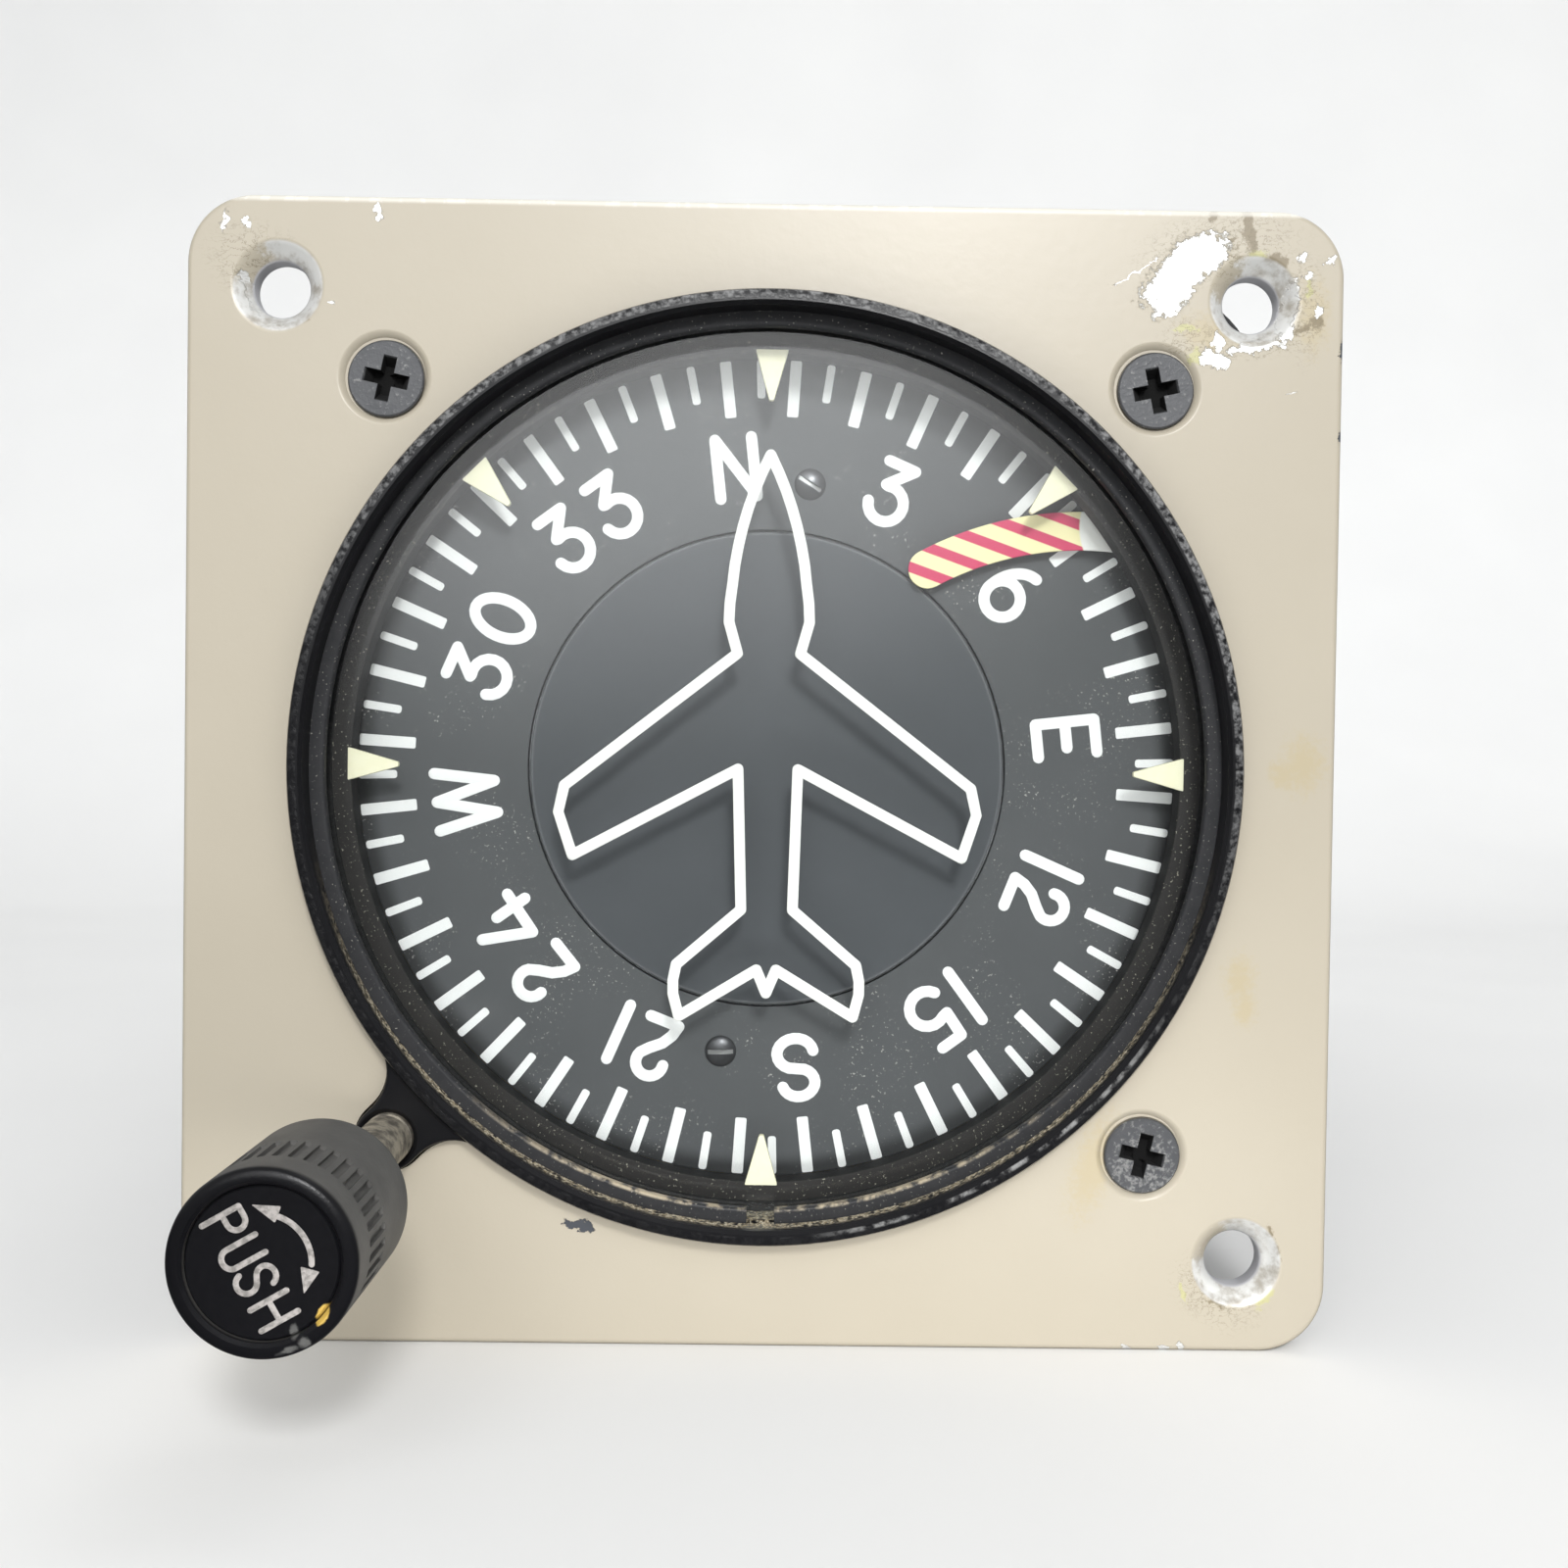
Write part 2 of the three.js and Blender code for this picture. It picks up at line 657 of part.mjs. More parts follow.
function bezel() {
  const rimInner = windowRadius - openingGap;
  const rim = turned(
    [
      [rimInner, rimFront],
      [bezelRadius - rimEdgeChamfer, rimFront],
      [bezelRadius, rimFront + rimEdgeChamfer],
      [bezelRadius, -tabProud],
      [bezelRadius - rimEdgeChamfer, -tabProud],
      [bezelRadius - rimEdgeChamfer, 0],
      [rimInner, 0],
    ],
    bigRoundSteps,
  );
  const front = plate(bezelOutline(0), -tabProud, castingFront + faceGap);
  const end = castingBack + cutOverrun;
  const bore = turned(
    [
      [0, rimFront - cutOverrun],
      [windowRadius, rimFront - cutOverrun],
      [windowRadius, ringFront - faceGap],
      [ringGrooveRadius, ringFront - faceGap],
      [ringGrooveRadius, ringBack + faceGap],
      [windowRadius, ringBack + faceGap],
      [windowRadius, maskSeat],
      [chamberRadius, maskSeat],
      [chamberRadius, plateSeat],
      [plateSeatRadius, plateSeat],
      [plateSeatRadius, end],
      [0, end],
    ],
    bigRoundSteps,
  );
  const shaftHole = rod(knobShaftRadius + slipGap, -tabProud - cutOverrun, end, knobAxis, knobAxis);
  const bushHole = rod(knobBushRadius + slipGap, castingFront, end, knobAxis, knobAxis);
  const pocket = rod(pinionPocketRadius, pinionPocketFloor, end, knobAxis, knobAxis, middleRoundSteps);
  const grooveHalfWidth = yokeTongueHalfWidth + slipGap;
  const groove = yokeTongue(grooveHalfWidth, yokeTongueRadius + slipGap, pinionPocketFloor, end);
  const screwHoles = flangeScrewPlaces.map(([x, z]) => rod(screwShankRadius + slipGap, 0, end, x, z));
  const body = join(bodyWithEars(castingFront, castingBack), rim, front);
  add("bezel", cut(body, bore, shaftHole, bushHole, pocket, groove, ...screwHoles), finishes.blackPaint);
}

function snapRing() {
  const outer = ringGrooveRadius - slipGap;
  const inner = outer - snapRingWidth;
  const circle = ring(inner, outer, ringFront, ringBack, bigRoundSteps);
  const gapHeight = 2 * (snapRingWidth + cutOverrun);
  const gap = block(snapRingGap, ringFront - cutOverrun, ringBack + cutOverrun, gapHeight, 0, -outer);
  add("snap_ring", cut(circle, gap), finishes.springSteel);
}

function glassAndSeal() {
  add("front_glass", rod(glassRadius, glassFront, glassBack, 0, 0, bigRoundSteps), finishes.clearGlass);
  const seal = ring(glassRadius - sealWidth, glassRadius, sealFront, sealBack, bigRoundSteps);
  add("glass_seal", seal, finishes.sealRubber);
}

function lubberMask() {
  const body = ring(maskInnerRadius, maskRadius, maskFront, maskBack, bigRoundSteps);
  const marks = indexDirections.map((direction) => {
    const base = maskInnerRadius + indexThickness;
    const tip = maskInnerRadius - indexLength;
    const corners = [
      [-indexHalfWidth, base],
      [-indexTipHalfWidth, tip],
      [indexTipHalfWidth, tip],
      [indexHalfWidth, base],
    ];
    const mark = plate(shapeOf(corners), maskFront, maskFront + indexThickness);
    return mark.rotateY(THREE.MathUtils.degToRad(direction));
  });
  add("lubber_mask", join(body, ...marks), finishes.blackPaint);
}

// The right half of the aircraft runs from the nose to the tail, as x and z, and the left half mirrors it
function aircraftSymbol() {
  const nose = new THREE.QuadraticBezierCurve(
    new THREE.Vector2(0, noseReach),
    new THREE.Vector2(noseBulgeShare * noseHalfWidth, noseBulgeHeight),
    new THREE.Vector2(noseHalfWidth, noseShoulderHeight),
  );
  const rightHalf = [
    ...nose.getPoints(2 * cornerSteps).map((point) => [point.x, point.y]),
    [wingRootFrontHalfWidth, wingRootFront],
    ...wingTipShares.map(([across, down]) => [across * wingHalfSpan, -down * wingTipReach]),
    [wingRootRearHalfWidth, 0],
    [tailRootHalfWidth, -tailRoot],
    ...tailTipShares.map(([across, down]) => [across * tailHalfSpan, -down * tailReach]),
    [tailNotchHalfWidth, -tailNotchTop],
    [0, -tailConeReach],
  ];
  const leftHalf = rightHalf.slice(1, -1).reverse().map(([x, z]) => [-x, z]);
  const outline = [...rightHalf, ...leftHalf];
  const shape = shapeOf(offsetLoop(outline, symbolStrokeHalfWidth).reverse());
  shape.holes.push(shapeOf(offsetLoop(outline, -symbolStrokeHalfWidth)));
  const front = glassBack + faceGap;
  add("aircraft_symbol", plate(shape, front, front + symbolThickness), finishes.markPaint);
}

// Moves a clockwise loop outwards by a distance, or inwards if it is negative. Outer tips are cut short.
function offsetLoop(loop, distance) {
  return loop.map((point, i) => {
    const before = loop[(i + loop.length - 1) % loop.length];
    const after = loop[(i + 1) % loop.length];
    const [inX, inY] = unit(point[0] - before[0], point[1] - before[1]);
    const [outX, outY] = unit(after[0] - point[0], after[1] - point[1]);
    const [bisectX, bisectY] = unit(-inY - outY, inX + outX);
    const lean = bisectX * -inY + bisectY * inX;
    const reach = Math.min(distance / lean, symbolTipLimit);
    return [point[0] + bisectX * reach, point[1] + bisectY * reach];
  });
}

function unit(x, y) {
  const length = Math.hypot(x, y);
  return [x / length, y / length];
}

// Everything that turns with the compass card
function cardAssembly() {
  const group = new THREE.Group();
  gyro.add(group);
  const card = ring(centreDiscRadius + slipGap, cardRadius, cardFront, cardBack, bigRoundSteps);
  const disc = rod(centreDiscRadius, cardFront - centreDiscStep, cardBack, 0, 0, bigRoundSteps);
  const carrier = rod(carrierRadius, carrierFront, carrierBack, 0, 0, bigRoundSteps);
  const boss = rod(arborBossRadius, carrierBack - slipGap, settingGearFront - faceGap);
  const arbor = rod(arborRadius, carrierBack, arborBack, 0, 0, middleRoundSteps);
  const screwPlaces = cardScrewDirections.map((direction) => onDial(cardScrewCircle, direction));
  const holeRadius = cardScrewShankRadius + slipGap;
  const holes = screwPlaces.map(([x, z]) => {
    return rod(holeRadius, cardFront - cutOverrun, carrierBack + cutOverrun, x, z);
  });
  add("compass_card", cut(card, ...holes), finishes.dialPaint, group);
  add("centre_disc", disc, finishes.dialPaint, group);
  add("card_arbor", cut(join(carrier, boss, arbor), ...holes), finishes.aluminium, group);
  screwPlaces.forEach(([x, z], i) => {
    const headBack = cardFront - faceGap;
    const head = rod(cardScrewHeadRadius, cardScrewFront, headBack, x, z);
    const shank = rod(cardScrewShankRadius, headBack - slipGap, carrierBack, x, z);
    const slotBack = cardScrewFront + cardScrewSlotDepth;
    const slotLength = 2 * (cardScrewHeadRadius + cutOverrun);
    const slot = block(slotLength, cardScrewFront - cutOverrun, slotBack, cardScrewSlotWidth, x, z);
    add(`card_screw_${i + 1}`, cut(join(head, shank), slot), finishes.darkSteel, group);
  });
  add("setting_gear", settingGear(), finishes.brass, group);
  const gear = bevelGear(cardGearFront - cardGearHubFront, arborRadius + faceGap, 0);
  gear.rotateX(Math.PI).translate(0, gyroCentre, 0);
  add("card_gear", gear, finishes.brass, group);
}

// A spur gear's outline, with straight-sided teeth that taper from the root to the tip
function spurOutline(teeth, pitchRadius) {
  const rootRadius = pitchRadius - settingToothDepth;
  const tipRadius = pitchRadius + settingToothHeight;
  const pitchAngle = (2 * Math.PI) / teeth;
  const tooth = [
    [rootRadius, -toothRootShare],
    [tipRadius, -toothTipShare],
    [tipRadius, toothTipShare],
    [rootRadius, toothRootShare],
  ];
  const corners = [];
  for (let i = 0; i < teeth; i += 1) {
    for (const [radius, share] of tooth) {
      const angle = (i + share) * pitchAngle;
      corners.push([radius * Math.cos(angle), radius * Math.sin(angle)]);
    }
  }
  return shapeOf(corners);
}

function settingGear() {
  const blank = plate(spurOutline(settingGearTeeth, settingPitchRadius), settingGearFront, settingGearBack);
  const hub = rod(settingGearHubRadius, settingGearBack - slipGap, plateFront - runningGap);
  const front = settingGearFront - cutOverrun;
  const holeCircle = settingGearHoleShare * settingPitchRadius;
  const holeRadius = (settingPitchRadius - holeCircle) / 2;
  const holes = settingGearHoleDirections.map((direction) => {
    const [x, z] = onDial(holeCircle, direction);
    return rod(holeRadius, front, settingGearBack + cutOverrun, x, z);
  });
  const bore = rod(arborRadius + faceGap, front, plateFront + cutOverrun, 0, 0, middleRoundSteps);
  return cut(join(blank, hub), ...holes, bore);
}

// One of the two equal 45 degree bevel gears. Its axis is Y and the cones meet at the origin.
function bevelGear(hubReach, boreRadius, turn) {
  const innerShare = (bevelPitchRadius - bevelFaceWidth) / bevelPitchRadius;
  const root = bevelDedendum * Math.SQRT1_2;
  const tip = bevelAddendum * Math.SQRT1_2;
  const rim = (bevelDedendum + bevelRimDepth) * Math.SQRT1_2;
  const back = bevelBackReach;
  const ledgeShare = bevelLedge / bevelPitchRadius;
  const rootOuter = [bevelPitchRadius - root, bevelPitchRadius + root].map((size) => size * (1 + ledgeShare));
  const webFront = back - bevelWebThickness;
  const rootInner = rootOuter.map((size) => size * (innerShare - ledgeShare));
  const blank = turned(
    [
      [boreRadius, webFront],
      [rootInner[0] - bevelWebThickness, webFront],
      rootInner,
      rootOuter,
      [bevelPitchRadius - rim, back],
      [bevelHubRadius, back],
      [bevelHubRadius, back + hubReach],
      [boreRadius, back + hubReach],
    ],
    bevelTeeth,
  );
  blank.rotateY(((turn + 0.5) * 2 * Math.PI) / bevelTeeth);
  const halfTip = bevelToothThickness / 2 - bevelAddendum * bevelFlankSlope;
  const halfRoot = bevelToothThickness / 2 + bevelDedendum * bevelFlankSlope;
  const sunk = (bevelDedendum + bevelToothSink) * Math.SQRT1_2;
  const section = [
    [-halfRoot, bevelPitchRadius + sunk, bevelPitchRadius - sunk],
    [halfRoot, bevelPitchRadius + sunk, bevelPitchRadius - sunk],
    [halfTip, bevelPitchRadius - tip, bevelPitchRadius + tip],
    [-halfTip, bevelPitchRadius - tip, bevelPitchRadius + tip],
  ];
  const inner = section.map((corner) => corner.map((size) => size * innerShare));
  const tooth = new THREE.BufferGeometry();
  tooth.setAttribute("position", new THREE.Float32BufferAttribute([...section, ...inner].flat(), 3));
  const faces = [[0, 3, 2, 1], [4, 5, 6, 7], [0, 1, 5, 4], [1, 2, 6, 5], [2, 3, 7, 6], [3, 0, 4, 7]];
  tooth.setIndex(faces.flatMap(([a, b, c, d]) => [a, b, c, a, c, d]));
  const teeth = [];
  for (let i = 0; i < bevelTeeth; i += 1) {
    teeth.push(tooth.clone().rotateY(((i + turn) * 2 * Math.PI) / bevelTeeth));
  }
  return join(blank, mergeGeometries(teeth));
}

function frontPlate() {
  const disc = rod(plateRadius, plateFront, plateBack, 0, 0, bigRoundSteps);
  const hub = rod(plateHubRadius, plateBack - slipGap, plateHubBack, 0, 0, middleRoundSteps);
  const front = plateFront - cutOverrun;
  const back = plateHubBack + cutOverrun;
  const [flagX, flagZ] = onDial(flagPivotRadius, flagPivotAngle);
  const seat = cardBearingRadius + slipGap;
  const lip = cardBearingRadius - plateHubLipWidth;
  const bore = turned(
    [
      [0, front],
      [seat, front],
      [seat, plateFront + cardBearingThickness],
      [lip, plateFront + cardBearingThickness],
      [lip, plateHubBack - cardBearingThickness],
      [seat, plateHubBack - cardBearingThickness],
      [seat, back],
      [0, back],
    ],
    middleRoundSteps,
  );
  const tools = [
    bore,
    rod(flagPinRadius + slipGap, front, back, flagX, flagZ),
    rod(springPocketRadius, front, back, knobAxis, knobAxis, middleRoundSteps),
  ];
  add("front_plate", cut(join(disc, hub), ...tools), finishes.aluminium);
  const bearing = (front) => {
    const back = front + cardBearingThickness - 2 * faceGap;
    return ring(arborRadius + slipGap, cardBearingRadius, front + faceGap, back, middleRoundSteps);
  };
  add("card_bearing_front", bearing(plateFront), finishes.brightSteel);
  add("card_bearing_rear", bearing(plateHubBack - cardBearingThickness + faceGap), finishes.brightSteel);
}

function powerFlag() {
  const group = new THREE.Group();
  gyro.add(group);
  const [pivotX, pivotZ] = onDial(flagPivotRadius, flagPivotAngle);
  const [toCentreX, toCentreZ] = onDial(flagArcRadius + flagPivotOutset, flagArcAngle);
  const [centreX, centreZ] = [pivotX + toCentreX, pivotZ + toCentreZ];
  const start = Math.atan2(-toCentreZ, -toCentreX);
  const end = start + THREE.MathUtils.degToRad(flagSpanAngle);
  const tipX = centreX + flagArcRadius * Math.cos(end);
  const tipZ = centreZ + flagArcRadius * Math.sin(end);
  const shape = shapeOf([
    ...arcPoints(centreX, centreZ, flagArcRadius + flagHalfWidth, start, end),
    ...arcPoints(tipX, tipZ, flagHalfWidth, end, end + Math.PI),
    ...arcPoints(centreX, centreZ, flagArcRadius - flagHalfWidth, end, start),
  ]);
  const band = plate(shape, flagFront, flagBack);
  const eye = rod(flagEyeRadius, flagFront, flagBack, pivotX, pivotZ);
  const pinHole = rod(flagPinRadius + slipGap, flagFront - cutOverrun, flagBack + cutOverrun, pivotX, pivotZ);
  add("power_flag", cut(join(band, eye), pinHole), finishes.flagPaint, group);

  const magnetFront = plateBack + runningGap;
  const magnetBack = magnetFront + flagMagnetThickness;
  const shoulderFront = flagBack + faceGap;
  const shoulderRadius = flagPinRadius + flagShoulderWidth;
  const pin = rod(flagPinRadius, flagFront, magnetBack, pivotX, pivotZ);
  const shoulder = rod(shoulderRadius, shoulderFront, shoulderFront + flagShoulderLength, pivotX, pivotZ);
  add("flag_pivot", join(pin, shoulder), finishes.brightSteel, group);
  const magnet = ring(flagPinRadius + slipGap, flagMagnetRadius, magnetFront, magnetBack, smallRoundSteps);
  add("flag_magnet", magnet.translate(pivotX, 0, pivotZ), finishes.darkSteel, group);

  const coilCircle = flagPivotRadius - flagMagnetRadius - flagCoilRadius - flagCoilGap;
  const [coilX, coilZ] = onDial(coilCircle, flagPivotAngle);
  const coilFront = plateBack + faceGap;
  const coilBack = cardGearHubFront - runningGap;
  const coil = ring(flagCoilBoreRadius, flagCoilRadius, coilFront, coilBack, smallRoundSteps);
  add("flag_coil", coil.translate(coilX, 0, coilZ), finishes.copper);
}

function gyroFrame() {
  const baseFront = plateBack + faceGap;
  const baseBack = baseFront + frameBaseThickness;
  const armBack = gyroCentre + frameArmOverhang;
  const baseHeight = frameTopOuter + frameBottomOuter;
  const baseCentre = (frameTopOuter - frameBottomOuter) / 2;
  const topCentre = (frameTop + frameTopOuter) / 2;
  const bottomCentre = -(frameBottom + frameBottomOuter) / 2;
  const body = join(
    block(2 * frameBaseHalfWidth, baseFront, baseBack, baseHeight, 0, baseCentre),
    block(2 * frameArmHalfWidth, baseFront, armBack, frameArmThickness, 0, topCentre),
    block(2 * frameArmHalfWidth, baseFront, armBack, frameArmThickness, 0, bottomCentre),
  );
  const hubGap = plateHubRadius + slipGap;
  const hubHole = rod(hubGap, baseFront - cutOverrun, baseBack + cutOverrun, 0, 0, middleRoundSteps);
  const holeRadius = gimbalBearingRadius + slipGap;
  const topHole = upright(rod(holeRadius, frameTop - cutOverrun, frameTopOuter + cutOverrun));
  const bottomHole = upright(rod(holeRadius, -frameBottomOuter - cutOverrun, -frameBottom + cutOverrun));
  add("gyro_frame", cut(body, hubHole, topHole, bottomHole), finishes.aluminium);
  const bore = gimbalPivotRadius + slipGap;
  const topBearing = ring(bore, gimbalBearingRadius, frameTop, frameTopOuter, smallRoundSteps);
  const bottomBearing = ring(bore, gimbalBearingRadius, -frameBottomOuter, -frameBottom, smallRoundSteps);
  add("gimbal_bearing_top", upright(topBearing), finishes.brightSteel);
  add("gimbal_bearing_bottom", upright(bottomBearing), finishes.brightSteel);
}

// Turns a shape that was made along the Y axis to stand along Z through the gyro's centre
function upright(geometry) {
  return geometry.rotateX(Math.PI / 2).translate(0, gyroCentre, 0);
}

// Turns a shape that was made along the Y axis to lie along X through the gyro's centre
function sideways(geometry) {
  return geometry.rotateZ(-Math.PI / 2).translate(0, gyroCentre, 0);
}

function outerGimbal() {
  const group = new THREE.Group();
  gyro.add(group);
  const front = gyroCentre - gimbalDepth / 2;
  const back = gyroCentre + gimbalDepth / 2;
  const loop = roundedRectangle(2 * gimbalHalfWidth, 2 * gimbalHalfHeight, gimbalBar + gimbalCrossBar);
  loop.holes.push(roundedRectangle(2 * gimbalInnerHalfWidth, 2 * gimbalInnerHalfHeight, gimbalBar));
  const shoulderEnd = bevelBackReach - bevelWebThickness - faceGap;
  const bearingHole = trunnionBearingRadius + slipGap;
  const body = join(
    plate(loop, front, back),
    upright(rod(gimbalPivotRadius, gimbalHalfHeight - slipGap, frameTopOuter)),
    upright(rod(gimbalPivotRadius, -frameBottomOuter, slipGap - gimbalHalfHeight)),
    upright(rod(gimbalShoulderRadius, -shoulderEnd, slipGap - gimbalHalfHeight)),
  );
  const holeReach = gimbalHalfWidth + cutOverrun;
  const trunnionHoles = sideways(rod(bearingHole, -holeReach, holeReach));
  add("outer_gimbal", cut(body, trunnionHoles), finishes.aluminium, group);
  const gear = bevelGear(bevelHubLength, gimbalPivotRadius + faceGap, 0.5);
  add("gimbal_gear", gear.rotateX(-Math.PI / 2).translate(0, gyroCentre, 0), finishes.brass, group);
  for (const [side, sign] of [["left", -1], ["right", 1]]) {
    const bore = trunnionRadius + slipGap;
    const bearing = ring(bore, trunnionBearingRadius, gimbalInnerHalfWidth, gimbalHalfWidth, smallRoundSteps);
    const placed = sideways(sign < 0 ? bearing.rotateX(Math.PI) : bearing);
    add(`trunnion_bearing_${side}`, placed, finishes.brightSteel, group);
  }
  innerGimbal(group);
}

function innerGimbal(outerGroup) {
  const group = new THREE.Group();
  outerGroup.add(group);
  const front = gyroCentre - housingHalfLength;
  const back = gyroCentre + housingHalfLength;
  const capFront = back - housingEndWall;
  const bearingHole = rotorBearingRadius + slipGap;
  const cup = turned(
    [
      [bearingHole, front],
      [housingRadius, front],
      [housingRadius, capFront - faceGap],
      [housingInnerRadius, capFront - faceGap],
      [housingInnerRadius, front + housingEndWall],
      [bearingHole, front + housingEndWall],
    ],
    middleRoundSteps,
  );
  const pinInner = housingRadius - housingWall / 2;
  const pin = sideways(rod(trunnionRadius, pinInner, gimbalHalfWidth));
  const otherPin = sideways(rod(trunnionRadius, -gimbalHalfWidth, -pinInner));
  add("rotor_housing", join(cup, pin, otherPin), finishes.aluminium, group);
  const cap = ring(bearingHole, housingRadius, capFront, back, middleRoundSteps);
  add("housing_cap", cap, finishes.aluminium, group);

  const sleeve = rotorShaftRadius + statorSleeveGap;
  const sleeveOuter = sleeve + statorSleeveWall;
  const statorRadius = rotorInnerRadius - statorAirGap;
  const flangeBack = capFront - faceGap;
  const stator = turned(
    [
      [sleeve, gyroCentre - statorHalfWidth],
      [statorRadius, gyroCentre - statorHalfWidth],
      [statorRadius, gyroCentre + statorHalfWidth],
      [sleeveOuter, gyroCentre + statorHalfWidth],
      [sleeveOuter, flangeBack - statorFlangeThickness],
      [sleeveOuter + statorFlangeWidth, flangeBack - statorFlangeThickness],
      [sleeveOuter + statorFlangeWidth, flangeBack],
      [sleeve, flangeBack],
    ],
    middleRoundSteps,
  );
  add("stator", stator, finishes.copper, group);
  const bearingBore = rotorShaftRadius + slipGap;
  const bearing = (start) => {
    return ring(bearingBore, rotorBearingRadius, start, start + housingEndWall, smallRoundSteps);
  };
  add("rotor_bearing_front", bearing(front), finishes.brightSteel, group);
  add("rotor_bearing_rear", bearing(capFront), finishes.brightSteel, group);

  const shaftReach = housingHalfLength - rotorShaftSetback;
  const rotor = turned(
    [
      [0, gyroCentre - shaftReach],
      [rotorShaftRadius, gyroCentre - shaftReach],
      [rotorShaftRadius, gyroCentre - rotorHalfWidth],
      [rotorRadius, gyroCentre - rotorHalfWidth],
      [rotorRadius, gyroCentre + rotorHalfWidth],
      [rotorInnerRadius, gyroCentre + rotorHalfWidth],
      [rotorInnerRadius, gyroCentre - rotorHalfWidth + rotorWebThickness],
      [rotorShaftRadius, gyroCentre - rotorHalfWidth + rotorWebThickness],
      [rotorShaftRadius, gyroCentre + shaftReach],
      [0, gyroCentre + shaftReach],
    ],
    middleRoundSteps,
  );
  add("rotor", rotor, finishes.darkSteel, group);
}

// A tongue that points from the knob's axis along the edge of the bezel
function yokeTongue(halfWidth, reach, front, back) {
  const tongue = block(reach, front, back, 2 * halfWidth, -reach / 2, 0);
  return tongue.rotateY(Math.PI / 4).translate(knobAxis, 0, knobAxis);
}

// A quarter round between two places of a turned profile
function quarterRound(centreR, centreY, radius, startAngle) {
  const points = [];
  for (let i = 0; i <= cornerSteps / 2; i += 1) {
    const angle = startAngle + (i * Math.PI) / cornerSteps;
    points.push([centreR + radius * Math.cos(angle), centreY + radius * Math.sin(angle)]);
  }
  return points;
}

function settingKnob() {
  const group = new THREE.Group();
  gyro.add(group);
  const recessRadius = knobRadius - knobRecessWall;
  const knurlFront = knobFront + knobFrontBand;
  const knurlBack = knurlFront + knobKnurlBand;
  const knurlFloor = knobRadius - knobKnurlDepth;
  const bore = knobShaftRadius + faceGap;
  const profile = [
    [0, knobRecessFloor],
    [recessRadius, knobRecessFloor],
    [recessRadius, knobFront],
    ...quarterRound(knobRadius - knobFrontRound, knobFront + knobFrontRound, knobFrontRound, -Math.PI / 2),
    [knobRadius, knurlFront],
    [knurlFloor, knurlFront],
    [knurlFloor, knurlBack],
    [knobRadius, knurlBack],
    ...quarterRound(knobRadius - knobRearRound, knobRear - knobRearRound, knobRearRound, 0),
    [bore, knobRear],
    [bore, knobBoreEnd],
    [0, knobBoreEnd],
  ];
  const ridges = [];
  for (let i = 0; i < 2 * knobKnurlCount; i += 1) {
    const angle = (i * Math.PI) / knobKnurlCount;
    const radius = i % 2 ? knobRadius : knurlFloor;
    ridges.push([radius * Math.cos(angle), radius * Math.sin(angle)]);
  }
  const knurl = shapeOf(ridges);
  knurl.holes.push(circleShape(recessRadius));
  const body = join(turned(profile, middleRoundSteps), plate(knurl, knurlFront, knurlBack));
  const screwY = knobRear - knobSetScrewFromRear;
  const outwards = (geometry) => {
    return geometry.rotateZ(Math.PI / 2).rotateY(-Math.PI / 4).translate(0, screwY, 0);
  };
  const screwHole = outwards(rod(knobSetScrewRadius + slipGap, 0, knobRadius + cutOverrun));
  const screw = outwards(rod(knobSetScrewRadius, bore, knobRadius - knobSetScrewInset));
  const capBack = knobRecessFloor - faceGap;
  const cap = rod(recessRadius - slipGap, capBack - knobCapThickness, capBack, 0, 0, middleRoundSteps);
  const stem = rod(knobShaftRadius, knobBoreEnd + faceGap, shaftBack);
  const pinion = plate(spurOutline(pinionTeeth, pinionPitchRadius), pinionFront, pinionBack);
  const toKnobAxis = (geometry) => geometry.translate(knobAxis, 0, knobAxis);
  add("set_knob", toKnobAxis(cut(body, screwHole)), finishes.blackPlastic, group);
  add("knob_cap", toKnobAxis(cap), finishes.blackPlastic, group);
  add("knob_shaft", toKnobAxis(join(stem, pinion)), finishes.darkSteel, group);
  add("knob_set_screw", toKnobAxis(screw), finishes.darkSteel, group);

  const shaftGap = knobShaftRadius + slipGap;
  const collar = rod(yokeRadius, yokeFront, yokeBack, 0, 0, middleRoundSteps);
  const tongue = yokeTongue(yokeTongueHalfWidth, yokeTongueRadius, yokeFront, yokeBack);
  const shaftHole = rod(shaftGap, yokeFront - cutOverrun, yokeBack + cutOverrun);
  add("push_yoke", cut(join(toKnobAxis(collar), tongue), toKnobAxis(shaftHole)), finishes.brass, group);
  add("return_spring", toKnobAxis(springCoil()), finishes.springSteel);
  const bush = ring(shaftGap, knobBushRadius, castingFront + faceGap, knobBushBack, smallRoundSteps);
  add("knob_bush", toKnobAxis(bush), finishes.brass);
}

